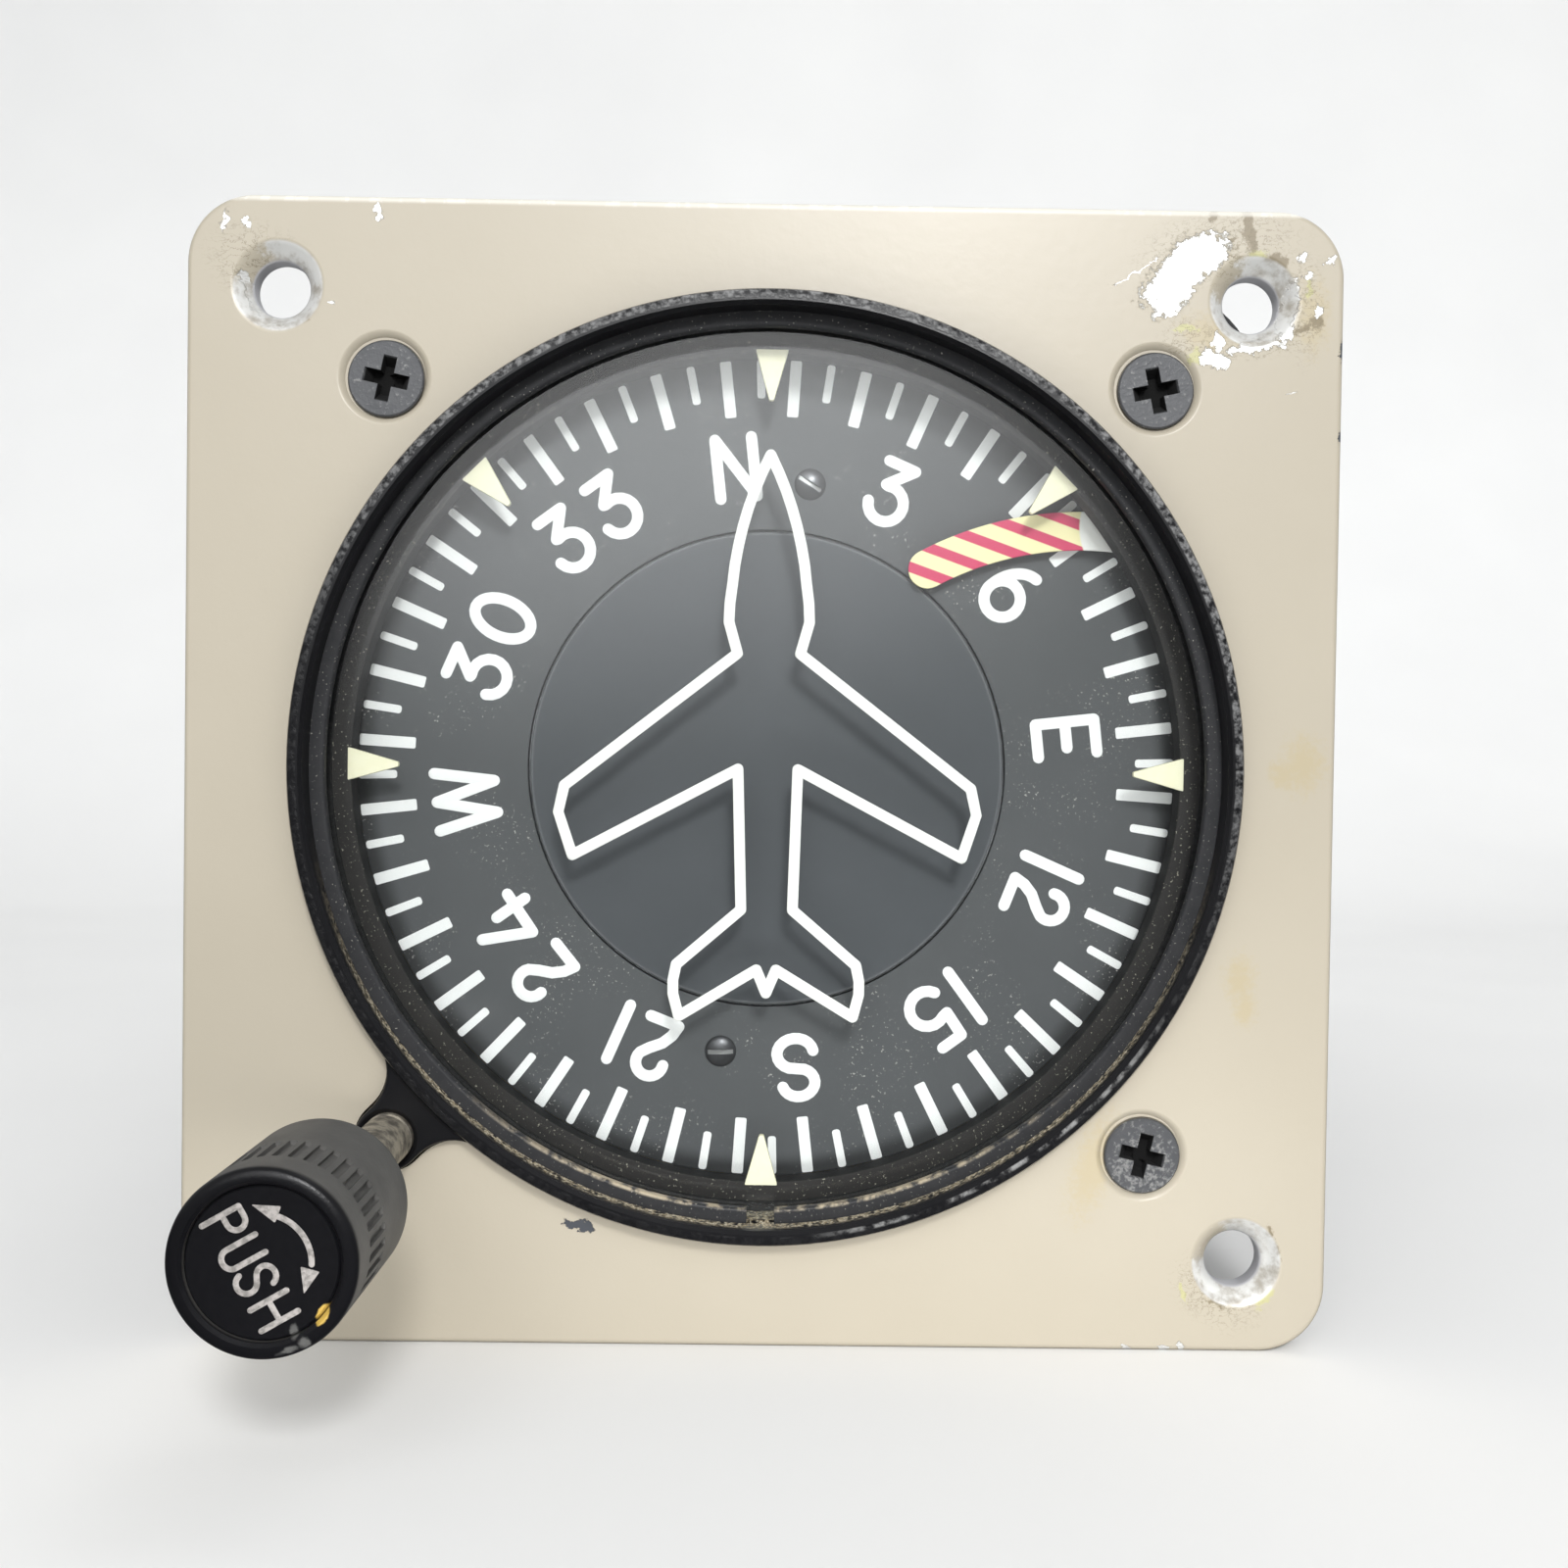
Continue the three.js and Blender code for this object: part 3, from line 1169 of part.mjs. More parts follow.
// A round wire wound about the Y axis, closed at both ends
function springCoil() {
  const stations = springCoils * springStepsPerCoil;
  const sides = springWireSides;
  const start = yokeBack + faceGap + springWireRadius;
  const rise = (springLength - 2 * springWireRadius) / stations;
  const positions = [];
  for (let i = 0; i <= stations; i += 1) {
    const angle = (i * 2 * Math.PI) / springStepsPerCoil;
    for (let j = 0; j < sides; j += 1) {
      const around = (j * 2 * Math.PI) / sides;
      const radius = springMeanRadius + springWireRadius * Math.cos(around);
      const height = start + i * rise + springWireRadius * Math.sin(around);
      positions.push(radius * Math.sin(angle), height, radius * Math.cos(angle));
    }
  }
  const index = [];
  for (let i = 0; i < stations; i += 1) {
    for (let j = 0; j < sides; j += 1) {
      const next = (j + 1) % sides;
      const [a, b] = [i * sides + j, i * sides + next];
      index.push(a, b + sides, b, a, a + sides, b + sides);
    }
  }
  const last = stations * sides;
  for (let j = 1; j < sides - 1; j += 1) {
    index.push(0, j, j + 1, last, last + j + 1, last + j);
  }
  const wire = new THREE.BufferGeometry();
  wire.setAttribute("position", new THREE.Float32BufferAttribute(positions, 3));
  wire.setIndex(index);
  return wire;
}

function caseShell() {
  const body = join(
    bodyWithEars(caseFront, caseEarBack),
    rod(castingRadius, caseFront, caseBack, 0, 0, bigRoundSteps),
  );
  const rearRingFront = caseBack - caseRearRingLength;
  const front = caseFront - cutOverrun;
  const rearHoleRadius = rearScrewRadius + slipGap;
  const rearOpening = caseInnerRadius - caseRearRingWidth;
  const bore = turned(
    [
      [0, front],
      [plateSeatRadius, front],
      [plateSeatRadius, caseEarBack],
      [caseInnerRadius, caseEarBack],
      [caseInnerRadius, rearRingFront],
      [rearOpening, rearRingFront],
      [rearOpening, caseBack + cutOverrun],
      [0, caseBack + cutOverrun],
    ],
    bigRoundSteps,
  );
  const tools = [
    bore,
    rod(springPocketRadius, front, springPocketFloor, knobAxis, knobAxis, middleRoundSteps),
    rod(knobShaftRadius + slipGap, front, shaftGuideFloor, knobAxis, knobAxis),
    ...flangeScrewPlaces.map(([x, z]) => {
      return rod(screwShankRadius + slipGap, front, caseFront + screwBite + faceGap, x, z);
    }),
    ...rearScrewPlaces.map(([x, z]) => {
      return rod(rearHoleRadius, coverBack - rearScrewLength - faceGap, caseBack + cutOverrun, x, z);
    }),
  ];
  add("case_shell", cut(body, ...tools), finishes.casePaint);
}

function rearCover() {
  const front = coverFront - cutOverrun;
  const back = coverBack + cutOverrun;
  const headFront = coverBack - rearScrewHeadHeight;
  const shankRadius = rearScrewRadius + slipGap;
  const headRadius = rearScrewHeadRadius + slipGap;
  const slotFront = coverBack - rearScrewHeadHeight / 2;
  const slotWidth = rearScrewRadius / 2;
  const tools = [rod(connectorInnerRadius - connectorSeatWidth, front, back, 0, 0, middleRoundSteps)];
  rearScrewPlaces.forEach(([x, z], i) => {
    const seat = countersunk(shankRadius, headRadius, coverBack, headFront, front, back);
    tools.push(seat.translate(x, 0, z));
    const end = coverBack - rearScrewLength;
    const blank = countersunk(rearScrewRadius, rearScrewHeadRadius, coverBack, headFront, end);
    const slot = block(2 * (rearScrewHeadRadius + cutOverrun), slotFront, back, slotWidth, 0, 0);
    add(`rear_screw_${i + 1}`, cut(blank, slot).translate(x, 0, z), finishes.darkSteel);
  });
  const disc = rod(castingRadius, coverFront, coverBack, 0, 0, bigRoundSteps);
  add("rear_cover", cut(disc, ...tools), finishes.casePaint);
}

function connector() {
  const front = coverBack + faceGap;
  const shell = turned(
    [
      [connectorInnerRadius, front],
      [connectorRadius + connectorFlangeWidth, front],
      [connectorRadius + connectorFlangeWidth, front + connectorFlangeThickness],
      [connectorRadius, front + connectorFlangeThickness],
      [connectorRadius, front + connectorLength],
      [connectorInnerRadius, front + connectorLength],
    ],
    middleRoundSteps,
  );
  add("connector_shell", shell, finishes.aluminium);
  const insertBack = front + insertThickness;
  const insert = rod(connectorInnerRadius - insertGap, front, insertBack, 0, 0, middleRoundSteps);
  const places = pinDirections.map((direction) => onDial(pinCircleRadius, direction));
  const holes = places.map(([x, z]) => {
    return rod(pinRadius + slipGap, front - cutOverrun, insertBack + cutOverrun, x, z);
  });
  add("connector_insert", cut(insert, ...holes), finishes.insulator);
  places.forEach(([x, z], i) => {
    const pin = rod(pinRadius, front - pinTail, insertBack + pinReach, x, z);
    add(`connector_pin_${i + 1}`, pin, finishes.brass);
  });
}

function inverter() {
  const board = rod(boardRadius, boardFront, boardBack - faceGap, 0, 0, middleRoundSteps);
  add("inverter_board", board, finishes.boardGreen);
  standoffDirections.forEach((direction, i) => {
    const [x, z] = onDial(boardRadius - standoffInset, direction);
    const standoff = rod(standoffRadius, boardBack, coverFront - faceGap, x, z);
    add(`board_standoff_${i + 1}`, standoff, finishes.brass);
  });
  const [width, height] = [transformerWidth, transformerHeight];
  const core = roundedRectangle(width, height, transformerCornerCut, 0, transformerLift);
  const partBack = boardFront - faceGap;
  add("transformer", plate(core, partBack - transformerLength, partBack), finishes.darkSteel);
  const can = turned(
    [
      [0, partBack - capacitorLength],
      [capacitorRadius - capacitorEdge, partBack - capacitorLength],
      [capacitorRadius, partBack - capacitorLength + capacitorEdge],
      [capacitorRadius, partBack],
      [0, partBack],
    ],
    smallRoundSteps,
  );
  add("capacitor", can.translate(capacitorX, 0, capacitorZ), finishes.aluminium);
}

mountingFlange();
flangeScrews();
bezel();
snapRing();
glassAndSeal();
lubberMask();
aircraftSymbol();
cardAssembly();
powerFlag();
frontPlate();
gyroFrame();
outerGimbal();
settingKnob();
caseShell();
rearCover();
connector();
inverter();

export default gyro;
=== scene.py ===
from functools import partial
from math import atan2, cos, pi, radians, sin, sqrt

import bmesh
import bpy
from mathutils import Matrix, Vector


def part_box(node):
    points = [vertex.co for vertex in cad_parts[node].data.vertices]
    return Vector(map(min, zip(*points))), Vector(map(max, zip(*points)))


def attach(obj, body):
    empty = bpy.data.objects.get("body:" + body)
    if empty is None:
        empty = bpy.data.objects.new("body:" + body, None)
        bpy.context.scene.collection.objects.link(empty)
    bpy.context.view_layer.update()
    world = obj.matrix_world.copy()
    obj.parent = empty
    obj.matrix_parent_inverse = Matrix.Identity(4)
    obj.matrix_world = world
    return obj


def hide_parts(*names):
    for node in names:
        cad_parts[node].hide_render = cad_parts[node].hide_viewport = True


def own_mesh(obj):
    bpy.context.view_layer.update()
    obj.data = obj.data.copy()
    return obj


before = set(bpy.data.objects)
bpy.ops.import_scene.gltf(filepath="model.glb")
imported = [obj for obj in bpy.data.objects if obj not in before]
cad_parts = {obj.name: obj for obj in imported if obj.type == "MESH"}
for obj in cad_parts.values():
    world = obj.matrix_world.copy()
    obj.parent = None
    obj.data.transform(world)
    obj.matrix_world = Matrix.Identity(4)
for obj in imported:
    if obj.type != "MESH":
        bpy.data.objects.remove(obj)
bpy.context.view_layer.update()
mm = 0.001


# The studio is a pale sheet that sweeps up behind the instrument, with a large soft lamp in front
# and above it in a pale room. The instrument stands on the lower edge of its flange.
def add_node(kind, values, tree=None, **settings):
    """Adds a node. Its values are numbers, colours or what other nodes of its tree give out."""
    sockets = [value for value in values.values() if isinstance(value, bpy.types.NodeSocket)]
    tree = tree or sockets[0].id_data
    made = tree.nodes.new(kind)
    for setting, choice in settings.items():
        setattr(made, setting, choice)
    for socket, value in values.items():
        if isinstance(value, bpy.types.NodeSocket):
            tree.links.new(value, made.inputs[socket])
        else:
            made.inputs[socket].default_value = value
    return made


def new_finish(name, colour, roughness, metallic=0.0, shine=0.5):
    """A finish of one colour, in linear red, green and blue, that detail is then put on."""
    finish = bpy.data.materials.new(name)
    finish.use_nodes = True
    surface = finish.node_tree.nodes["Principled BSDF"]
    surface.inputs["Base Color"].default_value = (*colour, 1)
    surface.inputs["Roughness"].default_value = roughness
    surface.inputs["Metallic"].default_value = metallic
    surface.inputs["Specular IOR Level"].default_value = shine
    return finish


def dress(finish, relief=None, **parts):
    """Joins what the detail gives out to the finish's own sockets. Relief is a height in mm."""
    if relief is not None:
        bump = add_node("ShaderNodeBump", {"Height": relief, "Distance": mm, "Strength": 1.0})
        parts["normal"] = bump.outputs["Normal"]
    surface = finish.node_tree.nodes["Principled BSDF"]
    sockets = {"colour": "Base Color", "roughness": "Roughness", "metallic": "Metallic", "normal": "Normal"}
    for part, value in parts.items():
        finish.node_tree.links.new(value, surface.inputs[sockets[part]])


def places_on(finish):
    """Where each place on a piece is, in the frame's own metres."""
    return add_node("ShaderNodeTexCoord", {}, finish.node_tree).outputs["Object"]


def grain(finish, size, detail=3.0, stretch=(1, 1, 1), shift=0.0):
    """Cloudy noise from 0 to 1 with spots about size mm across."""
    values = {"Vector": places_on(finish), "Location": (shift, shift, shift), "Scale": stretch}
    turned = add_node("ShaderNodeMapping", values).outputs["Vector"]
    values = {"Vector": turned, "Scale": 1 / (size * mm), "Detail": detail, "Roughness": 0.6}
    return add_node("ShaderNodeTexNoise", values).outputs["Fac"]


def fade(value, start, end, first=0.0, last=1.0):
    """Goes smoothly from first to last as the value goes from start to end."""
    values = {"Value": value, "From Min": start, "From Max": end, "To Min": first, "To Max": last}
    return add_node("ShaderNodeMapRange", values, interpolation_type="SMOOTHSTEP").outputs["Result"]


def work_out(operation, *values):
    """Adds, multiplies or compares several values, two at a time."""
    result = values[0]
    for value in values[1:]:
        result = add_node("ShaderNodeMath", {0: result, 1: value}, operation=operation).outputs["Value"]
    return result


product = partial(work_out, "MULTIPLY")
total = partial(work_out, "ADD")
largest = partial(work_out, "MAXIMUM")


def tint(share, first, second):
    """Goes from the first colour to the second as the share goes from 0 to 1."""
    colours = [c if isinstance(c, bpy.types.NodeSocket) else (*c, 1) for c in (first, second)]
    values = {0: share, 6: colours[0], 7: colours[1]}
    return add_node("ShaderNodeMix", values, data_type="RGBA").outputs[2]


def add_mesh(name, mesh):
    """Makes an object of a mesh that is in place, in metres."""
    data = bpy.data.meshes.new(name)
    mesh.to_mesh(data)
    mesh.free()
    thing = bpy.data.objects.new(name, data)
    bpy.context.scene.collection.objects.link(thing)
    return thing


def verts_of(made):
    """The vertices among the parts that a mesh tool gives back."""
    return [part for part in made if isinstance(part, bmesh.types.BMVert)]


def move(mesh, x, y, z, verts=None):
    """Moves a mesh, or some vertices of it."""
    bmesh.ops.translate(mesh, verts=verts or mesh.verts, vec=(x, y, z))


sheet_half_width = 1.4
sheet_front = -1.0
sheet_bend = 0.28
sheet_bend_radius = 0.3
sheet_top = 1.5
floor_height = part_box("mounting_flange")[0].z - 0.02 * mm
sheet_mesh = bmesh.new()
front_edge = sheet_mesh.verts.new((-sheet_half_width, sheet_front, floor_height))
bend_start = sheet_mesh.verts.new((-sheet_half_width, sheet_bend, floor_height))
sheet_mesh.edges.new((front_edge, bend_start))
bend_centre = (0, sheet_bend, floor_height + sheet_bend_radius)
bend = bmesh.ops.spin(
    sheet_mesh, geom=[bend_start], cent=bend_centre, axis=(1, 0, 0), angle=pi / 2, steps=32
)
bend_end = verts_of(bend["geom_last"])[0]
top_edge = sheet_mesh.verts.new((-sheet_half_width, bend_end.co.y, sheet_top))
sheet_mesh.edges.new((bend_end, top_edge))
widened = bmesh.ops.extrude_edge_only(sheet_mesh, edges=sheet_mesh.edges[:])
move(sheet_mesh, 2 * sheet_half_width, 0, 0, verts_of(widened["geom"]))
bmesh.ops.recalc_face_normals(sheet_mesh, faces=sheet_mesh.faces)
backdrop = add_mesh("backdrop", sheet_mesh)
backdrop.data.shade_smooth()
backdrop.visible_glossy = False
paper = new_finish("backdrop_paper", (0.82, 0.82, 0.81), 0.9)
dress(paper, colour=tint(grain(paper, 90.0, 2.0), (0.78, 0.78, 0.775), (0.86, 0.86, 0.85)))
backdrop.data.materials.append(paper)


def add_lamp(name, place, target, width, height, power):
    """A soft oval lamp that shines from a place to a target, all in metres and watts."""
    lamp_data = bpy.data.lights.new(name, "AREA")
    lamp_data.shape = "ELLIPSE"
    lamp_data.size = width
    lamp_data.size_y = height
    lamp_data.energy = power
    lamp = bpy.data.objects.new(name, lamp_data)
    lamp.location = place
    lamp.rotation_euler = (Vector(target) - Vector(place)).to_track_quat("-Z", "Y").to_euler()
    lamp.visible_camera = False
    bpy.context.scene.collection.objects.link(lamp)
    return lamp


add_lamp("key_lamp", (0.06, -0.45, 0.25), (0, 0, 0), 0.09, 0.09, 1.45)
low_lamp = add_lamp("low_lamp", (0.012, -0.042, -0.036), (0.006, 0, -0.036), 0.09, 0.006, 0.015)
low_lamp.visible_glossy = False
low_lamp_spares = bpy.data.collections.new("spared_by_low_lamp")
low_lamp_spares.objects.link(backdrop)
low_lamp_spares.collection_objects[0].light_linking.link_state = "EXCLUDE"
low_lamp.light_linking.receiver_collection = low_lamp_spares
add_lamp("backdrop_lamp", (0.2, 0.05, 0.55), (0.12, 0.6, 0.12), 0.3, 0.3, 0.42)

window_way = (-0.1, -0.85, 0.5)
room = bpy.data.worlds.new("pale_room")
room.use_nodes = True
background = room.node_tree.nodes["Background"]
room_way = add_node("ShaderNodeTexCoord", {}, room.node_tree).outputs["Generated"]
room_height = add_node("ShaderNodeSeparateXYZ", {0: room_way}).outputs["Z"]
window = add_node("ShaderNodeVectorMath", {0: room_way, 1: window_way}, operation="DOT_PRODUCT")
room_light = fade(room_height, -0.12, 0.4, 0.08, 0.5)
window_light = fade(window.outputs["Value"], 0.84, 0.97, 0.0, 2.8)
seen = add_node("ShaderNodeLightPath", {}, room.node_tree).outputs["Is Camera Ray"]
seen_strength = fade(room_height, -0.5, 0.5, 0.72, 0.82)
shown = add_node("ShaderNodeMix", {0: seen, 2: total(room_light, window_light), 3: seen_strength})
room.node_tree.links.new(shown.outputs[0], background.inputs["Strength"])
background.inputs["Color"].default_value = (0.98, 0.99, 1.0, 1)
bpy.context.scene.world = room
bpy.context.scene.view_settings.view_transform = "Standard"

camera_data = bpy.data.cameras.new("camera")
camera_data.lens = 36.09
camera_data.sensor_width = 36
camera_data.clip_start = 0.002
camera = bpy.data.objects.new("camera", camera_data)
camera.location = (0.35 * mm, -112.6 * mm, 1.0 * mm)
camera.rotation_euler = [radians(angle) for angle in (88.97693, -0.80828, -0.45664)]
bpy.context.scene.collection.objects.link(camera)
bpy.context.scene.camera = camera


# Mounting flange: a square plate machined from aluminium and sprayed with beige enamel. It has
# countersunk holes for the panel screws, and years of handling have chipped its paint.
def turn(mesh, angle, verts=None, centre=(0, 0, 0)):
    """Turns what is drawn flat, or some vertices of it, by an angle in degrees."""
    turned = Matrix.Rotation(radians(angle), 3, "Z")
    bmesh.ops.rotate(mesh, verts=verts or mesh.verts, cent=centre, matrix=turned)


def draw_arc(mesh, start, centre, angle, steps):
    """Draws an arc on from a vertex about a centre, and gives the vertex where it ends."""
    drawn = bmesh.ops.spin(
        mesh, geom=[start], cent=(*centre, 0), axis=(0, 0, 1), angle=angle, steps=steps
    )
    return verts_of(drawn["geom_last"])[0]


def draw_line(mesh, start, x, y):
    """Draws a straight line on from a vertex, and gives the vertex where it ends."""
    end = mesh.verts.new((x, y, 0))
    mesh.edges.new((start, end))
    return end


def close_outline(mesh):
    """Joins the ends of an outline that has come back to its start, and fills it."""
    bmesh.ops.remove_doubles(mesh, verts=mesh.verts, dist=0.001)
    bmesh.ops.contextual_create(mesh, geom=mesh.edges[:])


def rectangle(left, low, right, high):
    """The corners of a rectangle."""
    return [(left, low), (right, low), (right, high), (left, high)]


def add_face(mesh, corners):
    """Draws a flat face with the corners given, and gives its vertices."""
    drawn = [mesh.verts.new((x, y, 0)) for x, y in corners]
    mesh.faces.new(drawn)
    return drawn


def round_corners(mesh, radius, segments):
    """Rounds every corner of what is drawn flat."""
    bmesh.ops.bevel(
        mesh,
        geom=mesh.verts[:],
        offset=radius,
        offset_type="OFFSET",
        affect="VERTICES",
        segments=segments,
        profile=0.5,
        material=-1,
    )


def raise_faces(mesh, faces, height):
    """Makes flat faces the front of something solid."""
    made = bmesh.ops.extrude_face_region(mesh, geom=faces)
    move(mesh, 0, 0, height, verts_of(made["geom"]))


def stand_up(mesh):
    """Turns what was drawn flat in mm to face the front, in metres."""
    upright = Matrix.Rotation(pi / 2, 4, "X") @ Matrix.Scale(mm, 4)
    bmesh.ops.transform(mesh, matrix=upright, verts=mesh.verts)
    bmesh.ops.recalc_face_normals(mesh, faces=mesh.faces)


def thicken(mesh, front, back):
    """Makes a drawn face a plate, from front to back in mm, and stands it up to face forwards."""
    move(mesh, 0, 0, -front)
    raise_faces(mesh, mesh.faces[:], front - back)
    stand_up(mesh)


def spin_profile(profile, steps=192, x=0.0, z=0.0):
    """Turns a closed profile of radii and places along the axis, in mm, about the axis at x, z.

    Each place along the axis is made exact again after the turn, so that flat ends meet cleanly.
    """
    mesh = bmesh.new()
    corners = [mesh.verts.new((radius, y, 0)) for radius, y in profile]
    for first, second in zip(corners, corners[1:] + corners[:1]):
        if first.co.x > 0 or second.co.x > 0:
            mesh.edges.new((first, second))
    bmesh.ops.spin(
        mesh,
        geom=mesh.verts[:] + mesh.edges[:],
        cent=(0, 0, 0),
        axis=(0, 1, 0),
        angle=2 * pi,
        steps=steps,
        use_merge=True,
    )
    bmesh.ops.remove_doubles(mesh, verts=mesh.verts, dist=0.0005)
    for vert in mesh.verts:
        vert.co.y = round(vert.co.y, 4)
    move(mesh, x, 0, z)
    bmesh.ops.scale(mesh, vec=(mm, mm, mm), verts=mesh.verts)
    bmesh.ops.recalc_face_normals(mesh, faces=mesh.faces)
    return mesh


def round_edges(mesh, width, segments):
    """Rounds the sharp edges of a mesh by a width in mm."""
    bmesh.ops.bevel(
        mesh,
        geom=[edge for edge in mesh.edges if edge.calc_face_angle(0) > radians(60)],
        offset=width * mm,
        offset_type="OFFSET",
        affect="EDGES",
        segments=segments,
        profile=0.5,
        material=-1,
        clamp_overlap=True,
    )


def combine(blank, tools, operation="DIFFERENCE"):
    """Cuts tools out of a blank, or joins them to it, and gives the mesh that is left."""
    work = add_mesh("work", blank)
    helpers = [add_mesh("tool", tool) for tool in tools]
    for helper in helpers:
        modifier = work.modifiers.new("combine", "BOOLEAN")
        modifier.operation = operation
        modifier.solver = "EXACT"
        modifier.object = helper
    left = bmesh.new()
    left.from_object(work, bpy.context.evaluated_depsgraph_get())
    for thing in [work] + helpers:
        bpy.data.meshes.remove(thing.data)
    bmesh.ops.remove_doubles(left, verts=left.verts, dist=0.0002 * mm)
    return left


def add_piece(name, mesh, finish, body, slot, *nodes, crease=35):
    """Makes a mesh a finished piece of the object, in place of the plain solids it is named with."""
    thing = add_mesh(name, mesh)
    thing.data.materials.append(finish)
    thing.data.shade_smooth()
    thing.data.set_sharp_from_angle(angle=radians(crease))
    thing.modifiers.new("even_shading", "WEIGHTED_NORMAL").keep_sharp = True
    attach(thing, body)
    if nodes:
        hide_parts(*nodes)
    return thing


def from_point(finish, x=0.0, z=0.0, width=1.0, height=1.0, angle=0.0, warp=0.0):
    """How far a place is from a point of the dial, counted in the half sizes of a turned oval."""
    where = places_on(finish)
    if warp:
        clouds = {"Vector": where, "Scale": 1 / (0.8 * mm), "Detail": 4.0, "Roughness": 0.65}
        cloud = add_node("ShaderNodeTexNoise", clouds).outputs["Color"]
        spread = {0: cloud, 1: (warp * mm,) * 3, 2: (-0.5 * warp * mm,) * 3}
        shift = add_node("ShaderNodeVectorMath", spread, operation="MULTIPLY_ADD").outputs[0]
        where = add_node("ShaderNodeVectorMath", {0: where, 1: shift}, operation="ADD").outputs[0]
    oval = {
        "Vector": where,
        "Location": (x * mm, 0, z * mm),
        "Rotation": (0, -radians(angle), 0),
        "Scale": (width * mm, 1, height * mm),
    }
    place = add_node("ShaderNodeMapping", oval, vector_type="TEXTURE").outputs["Vector"]
    return add_node("ShaderNodeVectorMath", {0: place}, operation="LENGTH").outputs["Value"]


def patches(finish, ovals, raggedness, softness=0.1, warp=1.5):
    """Ovals from 0 to 1 with ragged edges. Each has a place, two half sizes in mm and a turn."""
    ragged = product(work_out("SUBTRACT", grain(finish, 0.5, 6.0), 0.5), raggedness)
    reaches = [total(from_point(finish, *oval, warp=warp), ragged) for oval in ovals]
    return largest(*[fade(reach, 1 + softness, 1 - softness) for reach in reaches])


def axes_of(finish):
    """How far along X, Y and Z each place on a piece is."""
    return add_node("ShaderNodeSeparateXYZ", {0: places_on(finish)}).outputs


def depth_share(finish, start, end):
    """Goes from 0 to 1 as a place goes back from one depth to another, in mm."""
    return fade(axes_of(finish)["Y"], start * mm, end * mm)


flange_margin = 0.001
flange_low, flange_high = [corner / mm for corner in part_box("mounting_flange")]
flange_corner = 4.8
flange_back = 2.4
bezel_radius = 33.9
knob_axis = -26.644
knob_place = (knob_axis, knob_axis)
knob_reach = 37.68
tab_half_width = 2.4
tab_fillet = 3.5
panel_holes = [(-35.225, 33.95), (34.425, 33.95), (34.425, -35.15)]
flange_screws = [(-27.494, 27.494), (27.494, 27.494), (27.494, -27.494)]
screw_hole_radius = 1.46


def draw_bezel_outline(margin):
    """The bezel from the front: a circle with one filleted tab, which reaches the knob's shaft."""
    mesh = bmesh.new()
    circle = bezel_radius + margin
    half = tab_half_width + margin
    fillet = tab_fillet - margin
    along = sqrt((circle + fillet) ** 2 - (half + fillet) ** 2)
    lean = atan2(half + fillet, along)
    pen = mesh.verts.new((circle * cos(lean), circle * sin(lean), 0))
    pen = draw_arc(mesh, pen, (0, 0), 2 * pi - 2 * lean, 224)
    pen = draw_arc(mesh, pen, (along, -half - fillet), lean - pi / 2, 12)
    pen = draw_line(mesh, pen, knob_reach, -half)
    pen = draw_arc(mesh, pen, (knob_reach, 0), pi, 24)
    pen = draw_line(mesh, pen, along, half)
    draw_arc(mesh, pen, (along, half + fillet), lean - pi / 2, 12)
    close_outline(mesh)
    turn(mesh, 225)
    return mesh


flange_mesh = bmesh.new()
flange_sides = rectangle(
    flange_low.x + flange_margin,
    flange_low.z + flange_margin,
    flange_high.x - flange_margin,
    flange_high.z - flange_margin,
)
add_face(flange_mesh, flange_sides)
round_corners(flange_mesh, flange_corner, 20)
thicken(flange_mesh, 0, flange_back)
round_edges(flange_mesh, 0.42, 4)
bezel_opening = draw_bezel_outline(0.75)
move(bezel_opening, 0, 0, 0.001)
for step_in, step_down in [(0.3, 0.03), (0.18, 0.09), (0.12, 0.38)]:
    deepest = max(bezel_opening.faces, key=lambda face: len(face.verts))
    bmesh.ops.inset_region(
        bezel_opening,
        faces=[deepest],
        thickness=step_in,
        depth=-step_down,
        use_even_offset=True,
        use_boundary=True,
    )
deepest = max(bezel_opening.faces, key=lambda face: len(face.verts))
raise_faces(bezel_opening, [deepest], -4)
bmesh.ops.holes_fill(bezel_opening, edges=bezel_opening.edges[:])
stand_up(bezel_opening)
flange_tools = [bezel_opening]
sink = [(0, -1), (3.42, -1), (3.42, 0), (3.18, 0.07), (2.95, 0.24), (2.05, 1.12), (2, 1.3), (2, 3), (0, 3)]
dish = [(0, -1), (3.4, -1), (3.4, 0), (3.28, 0.03), (3.14, 0.12), (2.98, 0.3), (2.88, 0.42), (0, 0.44)]
seat = [(0, -1), (2.79, -1), (2.79, 0.45), (screw_hole_radius, 1.58), (screw_hole_radius, 3), (0, 3)]
for hole_place in panel_holes:
    flange_tools.append(spin_profile(sink, 64, *hole_place))
for screw_x, screw_z in flange_screws:
    flange_tools.append(spin_profile(dish, 64, screw_x - 0.08, screw_z + 0.08))
    flange_tools.append(spin_profile(seat, 64, screw_x, screw_z))
flange_mesh = combine(flange_mesh, flange_tools)

